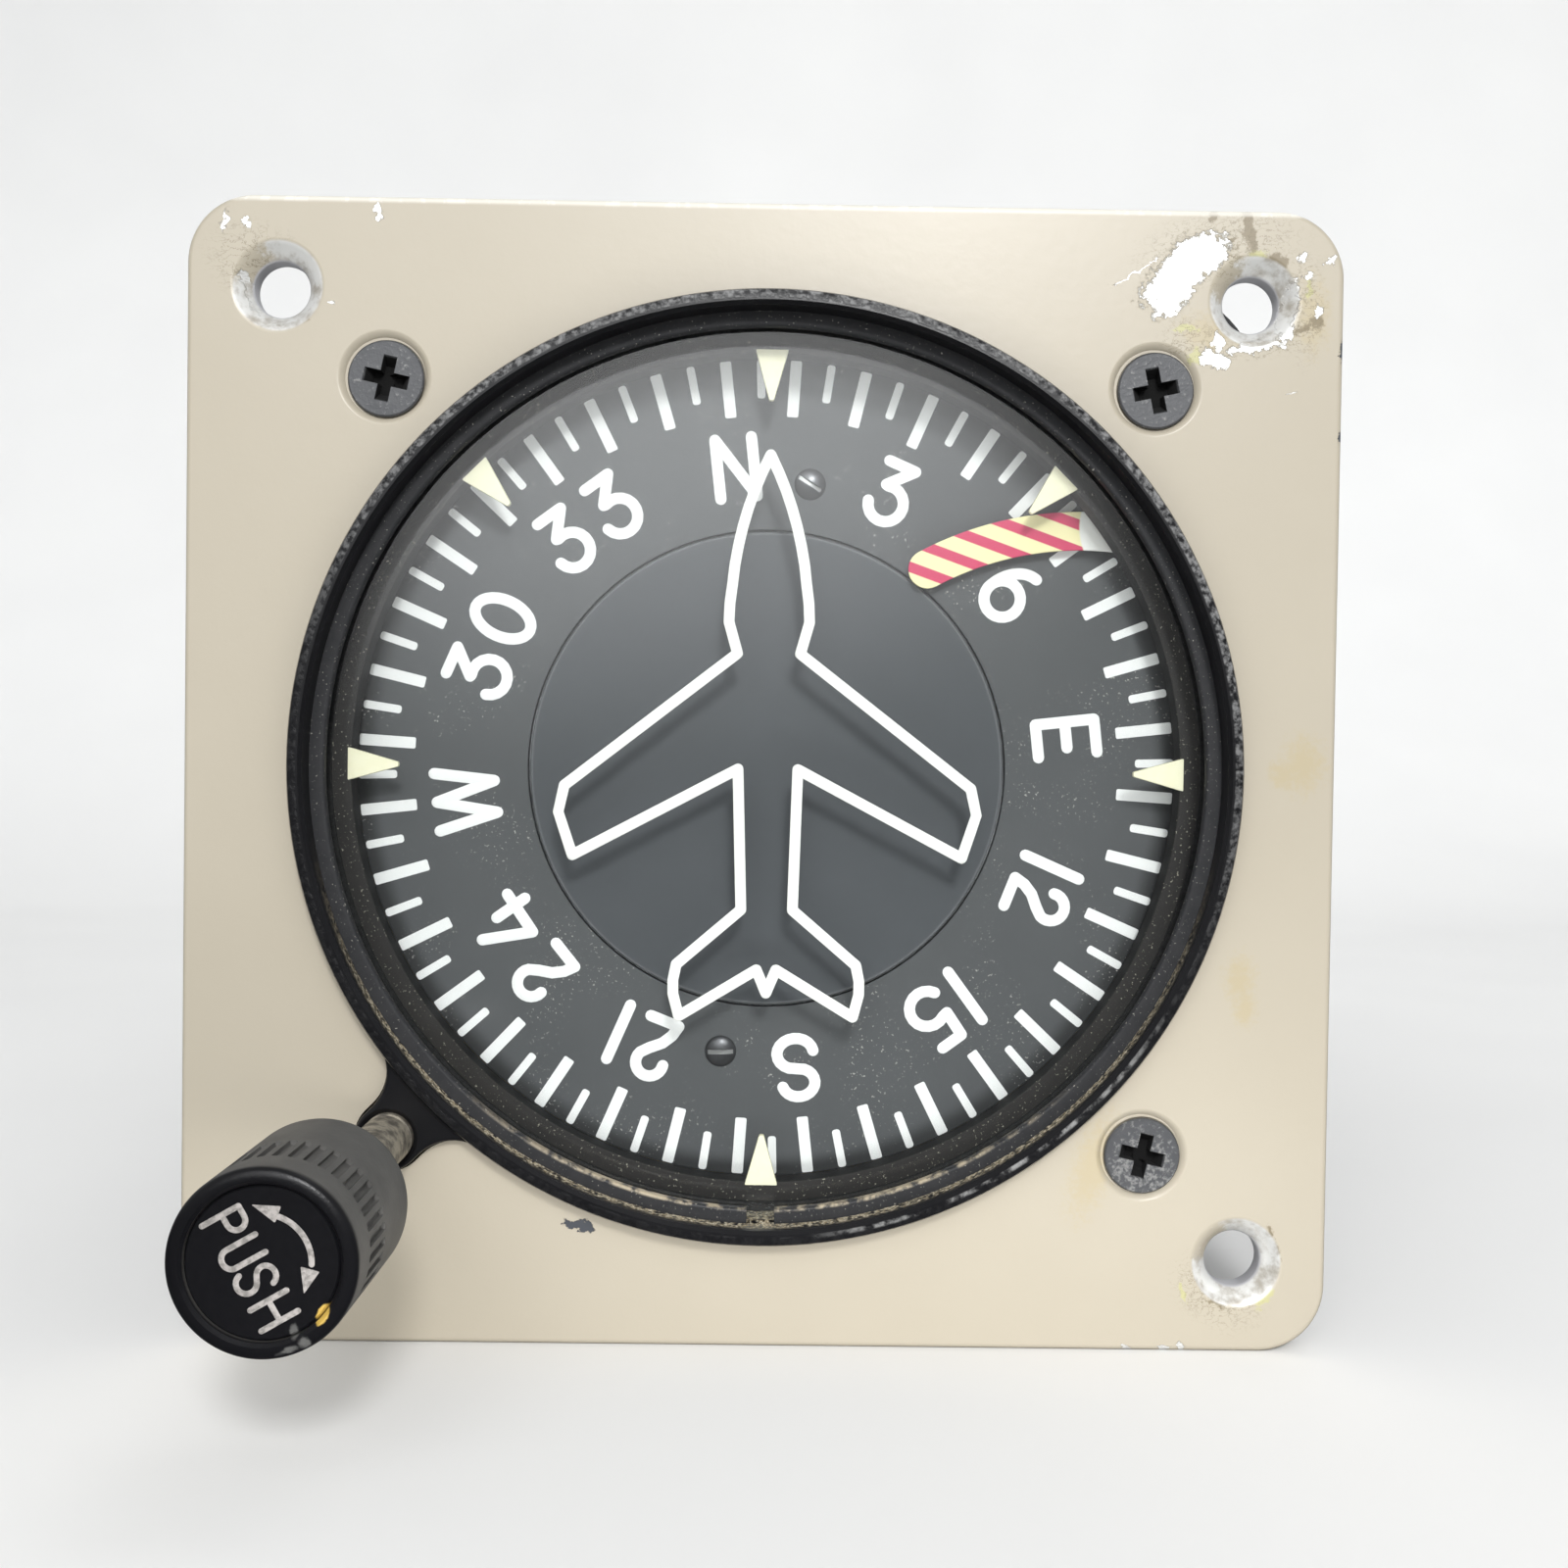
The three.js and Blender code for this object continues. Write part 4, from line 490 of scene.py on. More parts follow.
bare_patches = [
    (29.3, 36.1, 3.6, 1.35, 40), (28.6, 34.6, 2.2, 1.2, 55), (30.3, 37.1, 2.2, 1.5, 25),
    (28.41, 33.13, 0.5, 0.45, 0), (31.38, 29.82, 0.85, 0.6, 0), (32.32, 29.61, 0.5, 0.5, 0),
    (31.83, 30.99, 0.35, 0.75, 15), (37.76, 37.09, 0.3, 0.3, 0), (38.25, 35.71, 0.32, 0.3, 0),
    (39.86, 36.89, 0.45, 0.2, 20), (39.0, 33.3, 0.22, 0.5, -15), (-38.95, 38.4, 0.18, 0.8, -10),
    (-37.5, 38.4, 0.5, 0.16, -40), (-28.1, 39.4, 0.22, 0.6, 10), (-31.48, 32.78, 0.3, 0.16, 0),
    (36.9, 33.2, 0.55, 2.4, -10), (34.4, 30.7, 1.9, 0.45, 10), (-37.3, 33.6, 0.4, 1.5, 25),
    (26.44, -41.4, 0.3, 0.2, 0), (29.29, -41.4, 0.4, 0.25, 0), (30.65, -41.3, 0.35, 0.3, 0),
    (25.9, 35.9, 1.9, 0.07, 33), (37.2, 27.4, 0.5, 0.07, 12),
]
primer_patches = [
    (29.5, 31.9, 0.9, 0.25, 5), (30.34, 29.9, 0.5, 0.5, 0), (38.27, 34.79, 0.2, 0.7, 0),
    (34.6, 37.1, 0.7, 0.5, 0), (-36.9, 32.4, 0.35, 1.3, 30), (-35.8, 31.6, 0.7, 0.35, -20),
    (30.6, -37.4, 0.18, 0.75, 30), (36.4, -37.7, 0.5, 0.8, -40),
]
dirt_patches = [
    (33.95, 39.0, 0.42, 1.9, 10), (36.14, 36.83, 0.65, 0.45, -30), (38.9, 32.49, 0.5, 0.5, 0),
    (37.98, 32.01, 0.6, 0.3, 20), (31.42, 40.2, 0.3, 0.7, -20), (32.6, 38.3, 0.8, 0.12, 15),
    (32.5, 37.7, 0.7, 0.1, 5), (32.4, 37.2, 0.8, 0.1, -5), (-34.0, 31.6, 0.95, 0.4, 8),
    (32.9, -37.8, 0.9, 0.3, -40), (37.1, -33.6, 0.25, 1.2, 20),
]
stain_patches = [
    (38.56, 0.92, 1.3, 1.7, 0), (37.16, 0.19, 0.9, 0.9, 0), (34.27, -14.66, 0.9, 1.5, 0),
    (34.67, -16.78, 0.7, 1.1, 0), (23.9, -28.2, 1.2, 3.2, -15), (38.6, 33.0, 1.0, 2.2, 0),
    (31.0, 31.6, 1.6, 1.2, 0),
]
creased_patches = [
    (31.8, 37.6, 5.2, 2.3, 12), (29.9, 31.0, 1.9, 1.6, 0), (38.0, 33.6, 1.3, 3.4, 0),
    (34.4, 30.6, 3.4, 0.7, 5), (-36.6, 35.4, 3.2, 2.4, -30), (33.2, -37.2, 3.0, 2.2, -30),
]
chip_patches = [(-13.08, -32.94, 1.1, 0.38, -12), (40.85, 30.3, 0.25, 0.7, 0), (40.9, 24.4, 0.2, 0.3, 0)]
enamel = new_finish("beige_enamel", (0.4, 0.36, 0.29), 0.36)
enamel_front = depth_share(enamel, 1.4, 1.0)
chips = patches(enamel, chip_patches, 1.2)
marks = [
    (patches(enamel, stain_patches, 2.2, 0.7), 0.55, (0.4, 0.33, 0.19)),
    (patches(enamel, bare_patches, 1.3, 0.28), 0.85, (0.25, 0.21, 0.13)),
    (patches(enamel, primer_patches, 1.6, 0.25), 0.75, (0.44, 0.43, 0.2)),
    (patches(enamel, dirt_patches, 1.8, 0.3), 0.8, (0.16, 0.125, 0.07)),
    (chips, 1.0, (0.06, 0.065, 0.075)),
]
tone = tint(grain(enamel, 18.0, 3.0), (0.385, 0.345, 0.272), (0.42, 0.38, 0.305))
for share, strength, colour in marks:
    tone = tint(product(share, strength, enamel_front), tone, colour)
crease_noise = work_out("SUBTRACT", grain(enamel, 0.8, 6.0, (1, 1, 1.6), shift=0.6), 0.5)
crease_lines = fade(work_out("ABSOLUTE", crease_noise, 0.0), 0.016, 0.004)
creases = product(crease_lines, patches(enamel, creased_patches, 0.8, 0.5), enamel_front, 0.75)
tone = tint(creases, tone, (0.14, 0.12, 0.07))
# The top edge gets ragged grey-beige wear, and over it an even pale band that is a painted highlight,
# standing in for the light its rounded edge catches from above.
top_edge_wear_and_highlight = fade(axes_of(enamel)["Z"], 39.8 * mm, 40.15 * mm)
edge_noise = fade(grain(enamel, 1.1, 5.0, (1, 1, 0.3), shift=0.2), 0.52, 0.6)
tone = tint(product(edge_noise, top_edge_wear_and_highlight, 0.7), tone, (0.62, 0.58, 0.52))
tone = tint(product(top_edge_wear_and_highlight, 0.6), tone, (0.8, 0.78, 0.72))
bare = product(patches(enamel, bare_patches, 1.3), enamel_front)
bare_marks = fade(grain(enamel, 0.4, 4.0, (1, 1, 4), shift=0.4), 0.42, 0.66)
tone = tint(bare, tone, tint(bare_marks, (0.78, 0.78, 0.76), (0.56, 0.55, 0.52)))


def in_holes(radius, start, end):
    """Is 1 within a radius of each panel hole, from one depth on."""
    rounds = [fade(from_point(enamel, *hole, radius, radius), 1.0, 0.97) for hole in panel_holes]
    return product(largest(*rounds), depth_share(enamel, start, end))


sink_paint = [(x - 2.2, z + 1.7, 1.7, 1.3, 35) for x, z in panel_holes]
unpainted = work_out("SUBTRACT", 1.0, patches(enamel, sink_paint, 1.8, 0.3))
sinks = product(in_holes(3.36, 0.03, 0.1), unpainted)
bores = in_holes(2.2, 1.0, 1.15)
turned_marks = fade(grain(enamel, 1.3, 4.0, shift=0.15), 0.4, 0.7)
tone = tint(sinks, tone, tint(turned_marks, (0.72, 0.72, 0.7), (0.4, 0.37, 0.32)))
dress(
    enamel,
    colour=tint(bores, tone, (0.5, 0.5, 0.52)),
    roughness=fade(bare, 0.0, 1.0, 0.36, 0.3),
    metallic=product(largest(bare, sinks, bores), 0.35),
    relief=total(product(grain(enamel, 0.85, 2.0), 0.011), product(largest(bare, chips), -0.06)),
)
add_piece("enamelled_flange", flange_mesh, enamel, "case", "flange_paint", "mounting_flange")


# Bezel: an aluminium casting painted black. Its round rim stands out of the flange and holds the
# glass, and a small tab beside the rim carries the knob's shaft. Behind the flange it has four ears.
def ring(inner, outer, front, back, steps=192, x=0.0, z=0.0):
    """A plain ring, or a plain rod where its inner radius is 0."""
    return spin_profile(rectangle(inner, front, outer, back), steps, x, z)


ear_radius = 8.23
ear_places = flange_screws + [knob_place]
casting_radius = 39.0
casting_front = 2.43
casting_back = 14.94

bezel_front = draw_bezel_outline(0.0)
thicken(bezel_front, -1, 2.46)
round_edges(bezel_front, 0.35, 3)
casting = ring(0, casting_radius, casting_front, casting_back)
round_edges(casting, 0.4, 2)
rim_profile = [(0, -2), (33.35, -2), (33.7, -1.85), (33.86, -1.5), (33.86, 1), (0, 1)]
bezel_parts = [bezel_front, spin_profile(rim_profile)]
for ear_place in ear_places:
    bezel_parts.append(ring(0, ear_radius, casting_front, casting_back, 64, *ear_place))
bezel_mesh = combine(casting, bezel_parts, "UNION")
bezel_bore = [
    (0, -3), (33.1, -3), (32.95, -2.0), (32.7, -1.7), (32.7, -0.03), (33.1, -0.03), (33.1, 0.93),
    (32.7, 0.93), (32.7, 3.21), (34.6, 3.21), (34.6, 12.21), (36.2, 12.21), (36.2, 16), (0, 16),
]
shaft_bore = [(0, -3), (2.2, -3), (2.2, -1.02), (1.86, -0.7), (1.86, 16), (0, 16)]
bezel_tools = [
    spin_profile(bezel_bore),
    spin_profile(shaft_bore, 40, *knob_place),
    ring(0, 2.96, 2.43, 5, 40, *knob_place),
    ring(0, 6.33, 4.5, 16, 64, *knob_place),
]
for screw_place in flange_screws:
    bezel_tools.append(ring(0, screw_hole_radius, 0, 16, 32, *screw_place))
bezel_mesh = combine(bezel_mesh, bezel_tools)

black_paint = new_finish("worn_black_paint", (0.006, 0.006, 0.007), 0.3, shine=0.25)
from_axis = from_point(black_paint)
paint_axes = axes_of(black_paint)
paint_height = paint_axes["Z"]
rim_front = depth_share(black_paint, -1.6, -1.85)
paint_lean = total(paint_height, product(paint_axes["X"], 0.3))
upper_share = fade(paint_lean, -8 * mm, 22 * mm, 0.03, 1.0)
rim_share = product(rim_front, fade(from_axis, 33.05, 33.2), fade(from_axis, 33.86, 33.7))
paint_wear = fade(grain(black_paint, 0.45, 5.0, shift=0.3), 0.38, 0.68)
rim_wear = product(rim_share, upper_share, paint_wear)
groove_dust = product(
    fade(from_axis, 33.25, 33.0),
    depth_share(black_paint, -1.5, -0.6),
    fade(grain(black_paint, 0.35, 6.0, shift=0.9), 0.4, 0.56),
    fade(paint_height, -4 * mm, -24 * mm),
)
# Painted highlight: pale wavy glints on the rim's inner edge at the lower right, painted in place of
# reflections.
rim_painted_highlight = product(
    fade(from_axis, 32.95, 33.05),
    fade(from_axis, 33.4, 33.2),
    rim_front,
    fade(paint_axes["X"], 3 * mm, 9 * mm),
    fade(paint_height, -14 * mm, -24 * mm),
    fade(grain(black_paint, 1.4, 4.0, shift=0.25), 0.4, 0.62),
    0.4,
)
paint_tone = tint(grain(black_paint, 5.0, 4.0), (0.004, 0.004, 0.005), (0.011, 0.011, 0.012))
paint_tone = tint(rim_wear, paint_tone, (0.2, 0.2, 0.2))
paint_tone = tint(rim_painted_highlight, paint_tone, (0.5, 0.5, 0.49))
dust_speckle = fade(grain(black_paint, 0.16, 2.0, shift=0.4), 0.42, 0.62)
dust_tone = tint(dust_speckle, (0.26, 0.21, 0.13), (0.66, 0.6, 0.46))
dress(
    black_paint,
    colour=tint(groove_dust, paint_tone, dust_tone),
    roughness=fade(largest(rim_wear, groove_dust), 0.0, 1.0, 0.3, 0.75),
    relief=total(product(grain(black_paint, 0.5, 2.0), 0.008), product(rim_share, paint_wear, 0.03)),
)
add_piece("painted_bezel", bezel_mesh, black_paint, "case", "black_paint", "bezel")


# Flange screws: flat head steel screws with a cross recess, blackened. They hold the flange to the
# bezel and the case behind it, and the paint on their heads has worn.
def box(size, place=(0, 0, 0), angle=0):
    """A box drawn in mm about a place, turned by an angle in degrees."""
    mesh = bmesh.new()
    bmesh.ops.create_cube(mesh, size=1)
    bmesh.ops.scale(mesh, vec=size, verts=mesh.verts)
    turn(mesh, angle)
    move(mesh, *place)
    return mesh


head_radius = 2.73
head_face = 0.08
screw_end = 19.97
recess_reach = 2.3
recess_half_width = 0.55
recess_depth = 1.1
screw_turns = [-12, 12, -13]

blackened_steel = new_finish("blackened_steel", (0.05, 0.05, 0.054), 0.5, 0.2)
steel_grain = grain(blackened_steel, 0.28, 3.0)
steel_cloud = grain(blackened_steel, 1.6, 3.0, shift=0.5)
scratched = fade(from_point(blackened_steel, 27.5, -28.2), 3.2, 1.5, 0.0, 0.14)
steel_wear = fade(total(steel_grain, scratched), 0.56, 0.8)
on_flange = fade(from_point(blackened_steel), 36.0, 37.0)
# Painted shade: the cross recesses are painted near black, matt and not metallic.
recess_painted_shade = product(depth_share(blackened_steel, 0.12, 0.3), on_flange)
steel_tone = tint(steel_cloud, (0.055, 0.057, 0.062), (0.09, 0.092, 0.097))
steel_tone = tint(steel_wear, steel_tone, (0.22, 0.22, 0.215))
dress(
    blackened_steel,
    colour=tint(recess_painted_shade, steel_tone, (0.002, 0.002, 0.002)),
    roughness=fade(recess_painted_shade, 0.0, 1.0, 0.5, 1.0),
    metallic=fade(recess_painted_shade, 0.0, 1.0, 0.2, 0.0),
    relief=product(steel_grain, 0.03),
)
screw_profile = [
    (0, head_face), (head_radius - 0.12, head_face), (head_radius, head_face + 0.12), (1.4, 1.58),
    (1.4, screw_end - 0.3), (1.1, screw_end), (0, screw_end),
]
tool_depth = recess_depth + 1
for number, (screw_x, screw_z) in enumerate(flange_screws):
    recess = bmesh.new()
    bmesh.ops.create_cone(recess, cap_ends=True, segments=4, radius1=0.42, radius2=0.95, depth=tool_depth)
    turn(recess, 45)
    recess_tools = [recess]
    for wing_turn in (0, 90):
        wing = box((2 * recess_reach, 2 * recess_half_width, tool_depth))
        lower = [vert for vert in wing.verts if vert.co.z < 0]
        bmesh.ops.scale(wing, vec=(0.45, 0.8, 1), verts=lower)
        turn(wing, wing_turn)
        recess_tools.append(wing)
    for tool in recess_tools:
        turn(tool, screw_turns[number])
        move(tool, screw_x, screw_z, 0.5 - recess_depth / 2)
        stand_up(tool)
    screw_mesh = combine(spin_profile(screw_profile, 48, screw_x, screw_z), recess_tools)
    name, node = f"cross_screw_{number + 1}", f"flange_screw_{number + 1}"
    add_piece(name, screw_mesh, blackened_steel, "case", "dark_steel", node)


# Snap ring: a flat ring of black spring steel, open at the bottom. It springs into a groove inside
# the rim and holds the glass down on its seal.
ring_gap = 2.0
ring_mesh = ring(31.64, 33.04, 0, 0.9)
round_edges(ring_mesh, 0.24, 3)
gap_tool = box((ring_gap, 6, 4), (0, -32.5, 0))
stand_up(gap_tool)
ring_mesh = combine(ring_mesh, [gap_tool])
spring_steel = new_finish("black_spring_steel", (0.025, 0.025, 0.027), 0.6, shine=0.25)
ring_grain = grain(spring_steel, 1.2, 4.0)
ring_specks = fade(grain(spring_steel, 0.2, 2.0, shift=0.6), 0.64, 0.74)
ring_height = axes_of(spring_steel)["Z"]
inner_dust = product(
    fade(from_point(spring_steel), 31.95, 31.7),
    fade(ring_grain, 0.4, 0.6),
    fade(ring_height, -22 * mm, -31 * mm),
)
ring_tone = tint(ring_grain, (0.014, 0.015, 0.017), (0.032, 0.032, 0.034))
ring_tone = tint(ring_specks, ring_tone, (0.3, 0.29, 0.26))
dress(
    spring_steel,
    colour=tint(inner_dust, ring_tone, (0.4, 0.34, 0.24)),
    roughness=fade(ring_height, -18 * mm, -28 * mm, 0.62, 0.42),
    relief=product(grain(spring_steel, 0.25, 2.0), 0.012),
)
add_piece("spring_ring", ring_mesh, spring_steel, "case", "spring_steel", "snap_ring")


# Glass and seal: a clear flat glass 2 mm thick with a thin black rubber ring behind its edge. The
# glass mirrors a little more the flatter it is looked at.
def grained_finish(name, colour, roughness, metallic, spots, colours=None, gloss=None, relief=0.02):
    """A finish with one grain, which takes it from one colour or roughness to another."""
    finish = new_finish(name, colour, roughness, metallic)
    noise = grain(finish, *spots)
    if colours:
        dress(finish, colour=tint(noise, *colours))
    if gloss:
        dress(finish, roughness=fade(noise, 0.3, 0.7, *gloss))
    dress(finish, relief=product(noise, relief))
    return finish


glass_profile = [(0, 0.93), (32.4, 0.93), (32.55, 1.08), (32.55, 2.78), (32.4, 2.93), (0, 2.93)]
clear_glass = bpy.data.materials.new("clear_glass")
clear_glass.use_nodes = True
glass_tree = clear_glass.node_tree
glass_tree.nodes.remove(glass_tree.nodes["Principled BSDF"])
see_through = add_node("ShaderNodeBsdfTransparent", {"Color": (0.97, 0.98, 0.98, 1)}, glass_tree)
glass_shine = add_node("ShaderNodeBsdfGlossy", {"Roughness": 0.1}, glass_tree)
glass_facing = add_node("ShaderNodeLayerWeight", {"Blend": 0.5}, glass_tree).outputs["Facing"]
glass_gloss = fade(work_out("POWER", glass_facing, 5.0), 0.0, 1.0, 0.048, 0.9)
layers = {0: glass_gloss, 1: see_through.outputs["BSDF"], 2: glass_shine.outputs["BSDF"]}
pane = add_node("ShaderNodeMixShader", layers)
glass_tree.links.new(pane.outputs["Shader"], glass_tree.nodes["Material Output"].inputs["Surface"])
add_piece("dial_glass", spin_profile(glass_profile, 128), clear_glass, "case", "clear_glass", "front_glass")

seal_rubber = grained_finish(
    "seal_rubber", (0.01, 0.01, 0.01), 0.8, 0.0, (0.4, 3.0), gloss=(0.7, 0.95), relief=0.03
)
seal_mesh = ring(31.95, 32.55, 2.96, 3.21, 128)
add_piece("rubber_seal", seal_mesh, seal_rubber, "case", "seal_rubber", "glass_seal")


# Dial mask: a black ring behind the glass that hides the card's edge. Six small wedges in luminous
# cream paint lie on it and point in to the card.
mask_mesh = ring(30.55, 34.54, 3.24, 5.24)
round_edges(mask_mesh, 0.15, 2)
mask_paint = new_finish("mask_paint", (0.035, 0.033, 0.031), 0.7, shine=0.3)
mask_specks = fade(grain(mask_paint, 0.2, 2.0, shift=0.8), 0.64, 0.71)
mask_tone = tint(grain(mask_paint, 7.0, 3.0), (0.018, 0.017, 0.017), (0.034, 0.031, 0.028))
mask_tone = tint(mask_specks, mask_tone, (0.3, 0.28, 0.23))
# Painted shade: the mask's inner wall is painted near black, as if in shadow.
mask_wall_painted_shade = product(fade(from_point(mask_paint), 30.75, 30.65), depth_share(mask_paint, 3.32, 3.42))
dress(
    mask_paint,
    colour=tint(mask_wall_painted_shade, mask_tone, (0.003, 0.003, 0.003)),
    relief=product(grain(mask_paint, 0.3, 3.0), 0.02),
)
add_piece("dial_mask", mask_mesh, mask_paint, "case", "black_paint", "lubber_mask")

wedge_base = 30.8
wedge_tip = 27.08
wedge_half_width = 1.22
tip_half_width = 0.17
wedge_corners = [
    (wedge_half_width, wedge_base),
    (-wedge_half_width, wedge_base),
    (-tip_half_width, wedge_tip),
    (tip_half_width, wedge_tip),
]
wedges = bmesh.new()
for direction in (0, 45, 90, 180, 270, 315):
    turn(wedges, -direction, add_face(wedges, wedge_corners))
round_corners(wedges, 0.1, 3)
thicken(wedges, 3.19, 3.7)
round_edges(wedges, 0.06, 2)
cream_tones = ((0.84, 0.8, 0.55), (0.92, 0.89, 0.68))
cream_paint = grained_finish("luminous_cream_paint", (0.88, 0.84, 0.6), 0.7, 0.0, (0.5, 3.0), cream_tones)
add_piece("index_wedges", wedges, cream_paint, "case", "mark_paint")


# Aircraft outline: a fixed top view of an aircraft, drawn in a line of off-white paint on the back
# of the glass. The dial turns behind it.
def split_at_corners(points):
    """Cuts a line of lettering where it turns sharply, so that each length keeps its full width."""
    places = [Vector(point) for point in points]
    lengths = [[places[0]]]
    for before, place, after in zip(places, places[1:], places[2:]):
        lengths[-1].append(place)
        if (place - before).angle(after - place) > radians(35):
            lengths.append([place])
    lengths[-1].append(places[-1])
    return lengths


def add_stroke(curve, path, half_width):
    """Draws one length of lettering with round ends, as a line that tapers at each end."""
    rounds = [(0.99, 0.12), (0.87, 0.5), (0.5, 0.87)]
    start_way = (path[0] - path[1]).normalized() * half_width
    end_way = (path[-1] - path[-2]).normalized() * half_width
    stations = [(path[0] + start_way * out, size) for out, size in rounds]
    stations += [(point, 1.0) for point in path]
    stations += [(path[-1] + end_way * out, size) for out, size in reversed(rounds)]
    spline = curve.splines.new("POLY")
    spline.points.add(len(stations) - 1)
    for spot, (place, size) in zip(spline.points, stations):
        spot.co = (place.x, place.y, 0, 1)
        spot.radius = size


def raise_strokes(lines, half_width, height):
    """Makes lines of lettering one flat raised mesh, drawn in mm."""
    curve = bpy.data.curves.new("lettering", "CURVE")
    curve.dimensions = "3D"
    curve.bevel_depth = half_width
    curve.bevel_resolution = 2
    curve.use_fill_caps = True
    for line in lines:
        for path in split_at_corners(line):
            add_stroke(curve, path, half_width)
    drawing = bpy.data.objects.new("lettering", curve)
    bpy.context.scene.collection.objects.link(drawing)
    mesh = bmesh.new()
    mesh.from_mesh(drawing.to_mesh())
    bpy.data.curves.remove(curve)
    bmesh.ops.remove_doubles(mesh, verts=mesh.verts, dist=0.0005)
    bmesh.ops.scale(mesh, vec=(1, 1, height / half_width), verts=mesh.verts)
    return mesh


outline_half_width = 0.4
outline_depth = 3.05
outline_half_thickness = 0.09
outline_tilt = 0.25
nose = [
    (0, 23.06), (0.61, 21.77), (1.15, 20.46), (1.61, 19.13), (2.0, 17.77), (2.31, 16.4),
    (2.56, 15.0), (2.72, 13.57), (2.9, 12.2), (2.96, 10.8),
]
wing = [(2.31, 8.49), (14.96, -1.31), (15.39, -3.26), (14.34, -6.43), (2.2, 0)]
tail = [
    (1.9, -10.37), (6.62, -14.42), (6.86, -15.6), (6.85, -16.6), (6.42, -18.25), (0.72, -14.79),
    (0, -16.52),
]
right_half = nose + wing + tail
left_half = [(-x, z) for x, z in reversed(right_half[:-1])]
outline_mesh = raise_strokes([right_half + left_half], outline_half_width, outline_half_thickness)
turn(outline_mesh, outline_tilt, centre=(0, nose[0][1], 0))
move(outline_mesh, 0, 0, -outline_depth)
stand_up(outline_mesh)
white_tones = ((0.84, 0.83, 0.78), (0.92, 0.91, 0.87))
white_paint = grained_finish("off_white_paint", (0.86, 0.85, 0.8), 0.6, 0.0, (0.4, 3.0), white_tones)
add_piece("aircraft_outline", outline_mesh, white_paint, "case", "mark_paint", "aircraft_symbol", crease=60)


# Compass card: an aluminium ring in matt dark paint that turns with the gyro. Its marks are in white
# paint: a bar each ten degrees, a thin one each five, and a letter or number each thirty.
card_front = 6.74
card_back = 7.54
card_turn = -6.6
card_mesh = ring(18.1, 31.0, card_front, card_back)
round_edges(card_mesh, 0.08, 2)
dial_paint = new_finish("matt_dial_paint", (0.08, 0.083, 0.086), 0.65)
dust = fade(grain(dial_paint, 0.2, 1.5, shift=0.7), 0.65, 0.71)
dust_area = fade(grain(dial_paint, 6.0, 2.0, shift=0.3), 0.45, 0.7)
# Painted shade: the card darkens towards its rim, as if shaded by the mask.
card_edge_painted_shade = fade(from_point(dial_paint), 29.2, 30.6, 0.0, 0.75)
dial_tone = tint(grain(dial_paint, 9.0, 4.0), (0.07, 0.073, 0.076), (0.092, 0.095, 0.098))
dial_tone = tint(card_edge_painted_shade, dial_tone, (0.012, 0.012, 0.012))
dress(
    dial_paint,
    colour=tint(product(dust, dust_area), dial_tone, (0.4, 0.39, 0.36)),
    relief=product(grain(dial_paint, 0.18, 3.0), 0.006),
)
add_piece("painted_card", card_mesh, dial_paint, "card", "dial_paint", "compass_card")

white_tones = ((0.86, 0.86, 0.84), (0.93, 0.93, 0.91))
dial_white = grained_finish("dial_white_paint", (0.9, 0.9, 0.88), 0.6, 0.0, (0.3, 3.0), white_tones)
for name, inner, half_width, rounding, first in [
    ("long_ticks", 26.65, 0.43, 0.14, 0),
    ("short_ticks", 28.0, 0.31, 0.22, 5),
]:
    ticks = bmesh.new()
    for direction in range(first, 360, 10):
        drawn = add_face(ticks, rectangle(-half_width, inner, half_width, 30.9))
        turn(ticks, -direction - card_turn, drawn)
    round_corners(ticks, rounding, 4)
    thicken(ticks, card_front - 0.04, card_front + 0.02)
    add_piece(name, ticks, dial_white, "card", "mark_paint")


def bow(x, y, across, up, first, last, steps=14):
    """Points on part of an ellipse, from one angle to another in degrees."""
    angles = [radians(first + (last - first) * step / steps) for step in range(steps + 1)]
    return [(x + across * cos(angle), y + up * sin(angle)) for angle in angles]


# Each letter or number has its left and right ends and its lines, counted in its own height.
two_foot = [(0.31, 0.53), (0.14, 0.37), (0.04, 0.19), (0, 0), (0.51, 0.02)]
glyphs = {
    "N": (0, 0.62, [[(0, 0), (0, 1), (0.62, 0), (0.62, 1)]]),
    "E": (0, 0.56, [[(0.56, 1), (0, 1), (0, 0), (0.56, 0)], [(0, 0.5), (0.44, 0.5)]]),
    "S": (0, 0.66, [bow(0.33, 0.76, 0.28, 0.24, 12, 245) + bow(0.34, 0.26, 0.31, 0.26, 65, -175)]),
    "W": (0, 0.98, [[(0, 1), (0.22, 0), (0.49, 1), (0.76, 0), (0.98, 1)]]),
    "0": (0, 0.62, [bow(0.31, 0.5, 0.31, 0.5, 0, 360, 28)]),
    "1": (0, 0, [[(0, 0), (0, 1)]]),
    "2": (-0.03, 0.51, [bow(0.21, 0.76, 0.235, 0.235, 190, -25) + two_foot]),
    "3": (-0.06, 0.535, [[(0, 1), (0.48, 1), (0.115, 0.61)] + bow(0.235, 0.305, 0.3, 0.305, 106, -168)]),
    "4": (0, 0.77, [[(0.39, 1), (0, 0.23), (0.77, 0.2)], [(0.55, 0.58), (0.54, 0)]]),
    "5": (-0.03, 0.54, [[(0.41, 1), (0.02, 1), (0, 0.55)] + bow(0.235, 0.3, 0.305, 0.3, 118, -150)]),
    "6": (0, 0.62, [bow(0.31, 0.31, 0.31, 0.31, 0, 360, 24), bow(0.47, 0.36, 0.47, 0.62, 180, 100)]),
}
glyph_height = 4.47
glyph_foot = 20.64
glyph_gap = 0.39
labels = ["N", "3", "6", "E", "12", "15", "S", "21", "24", "W", "30", "33"]
lines = []
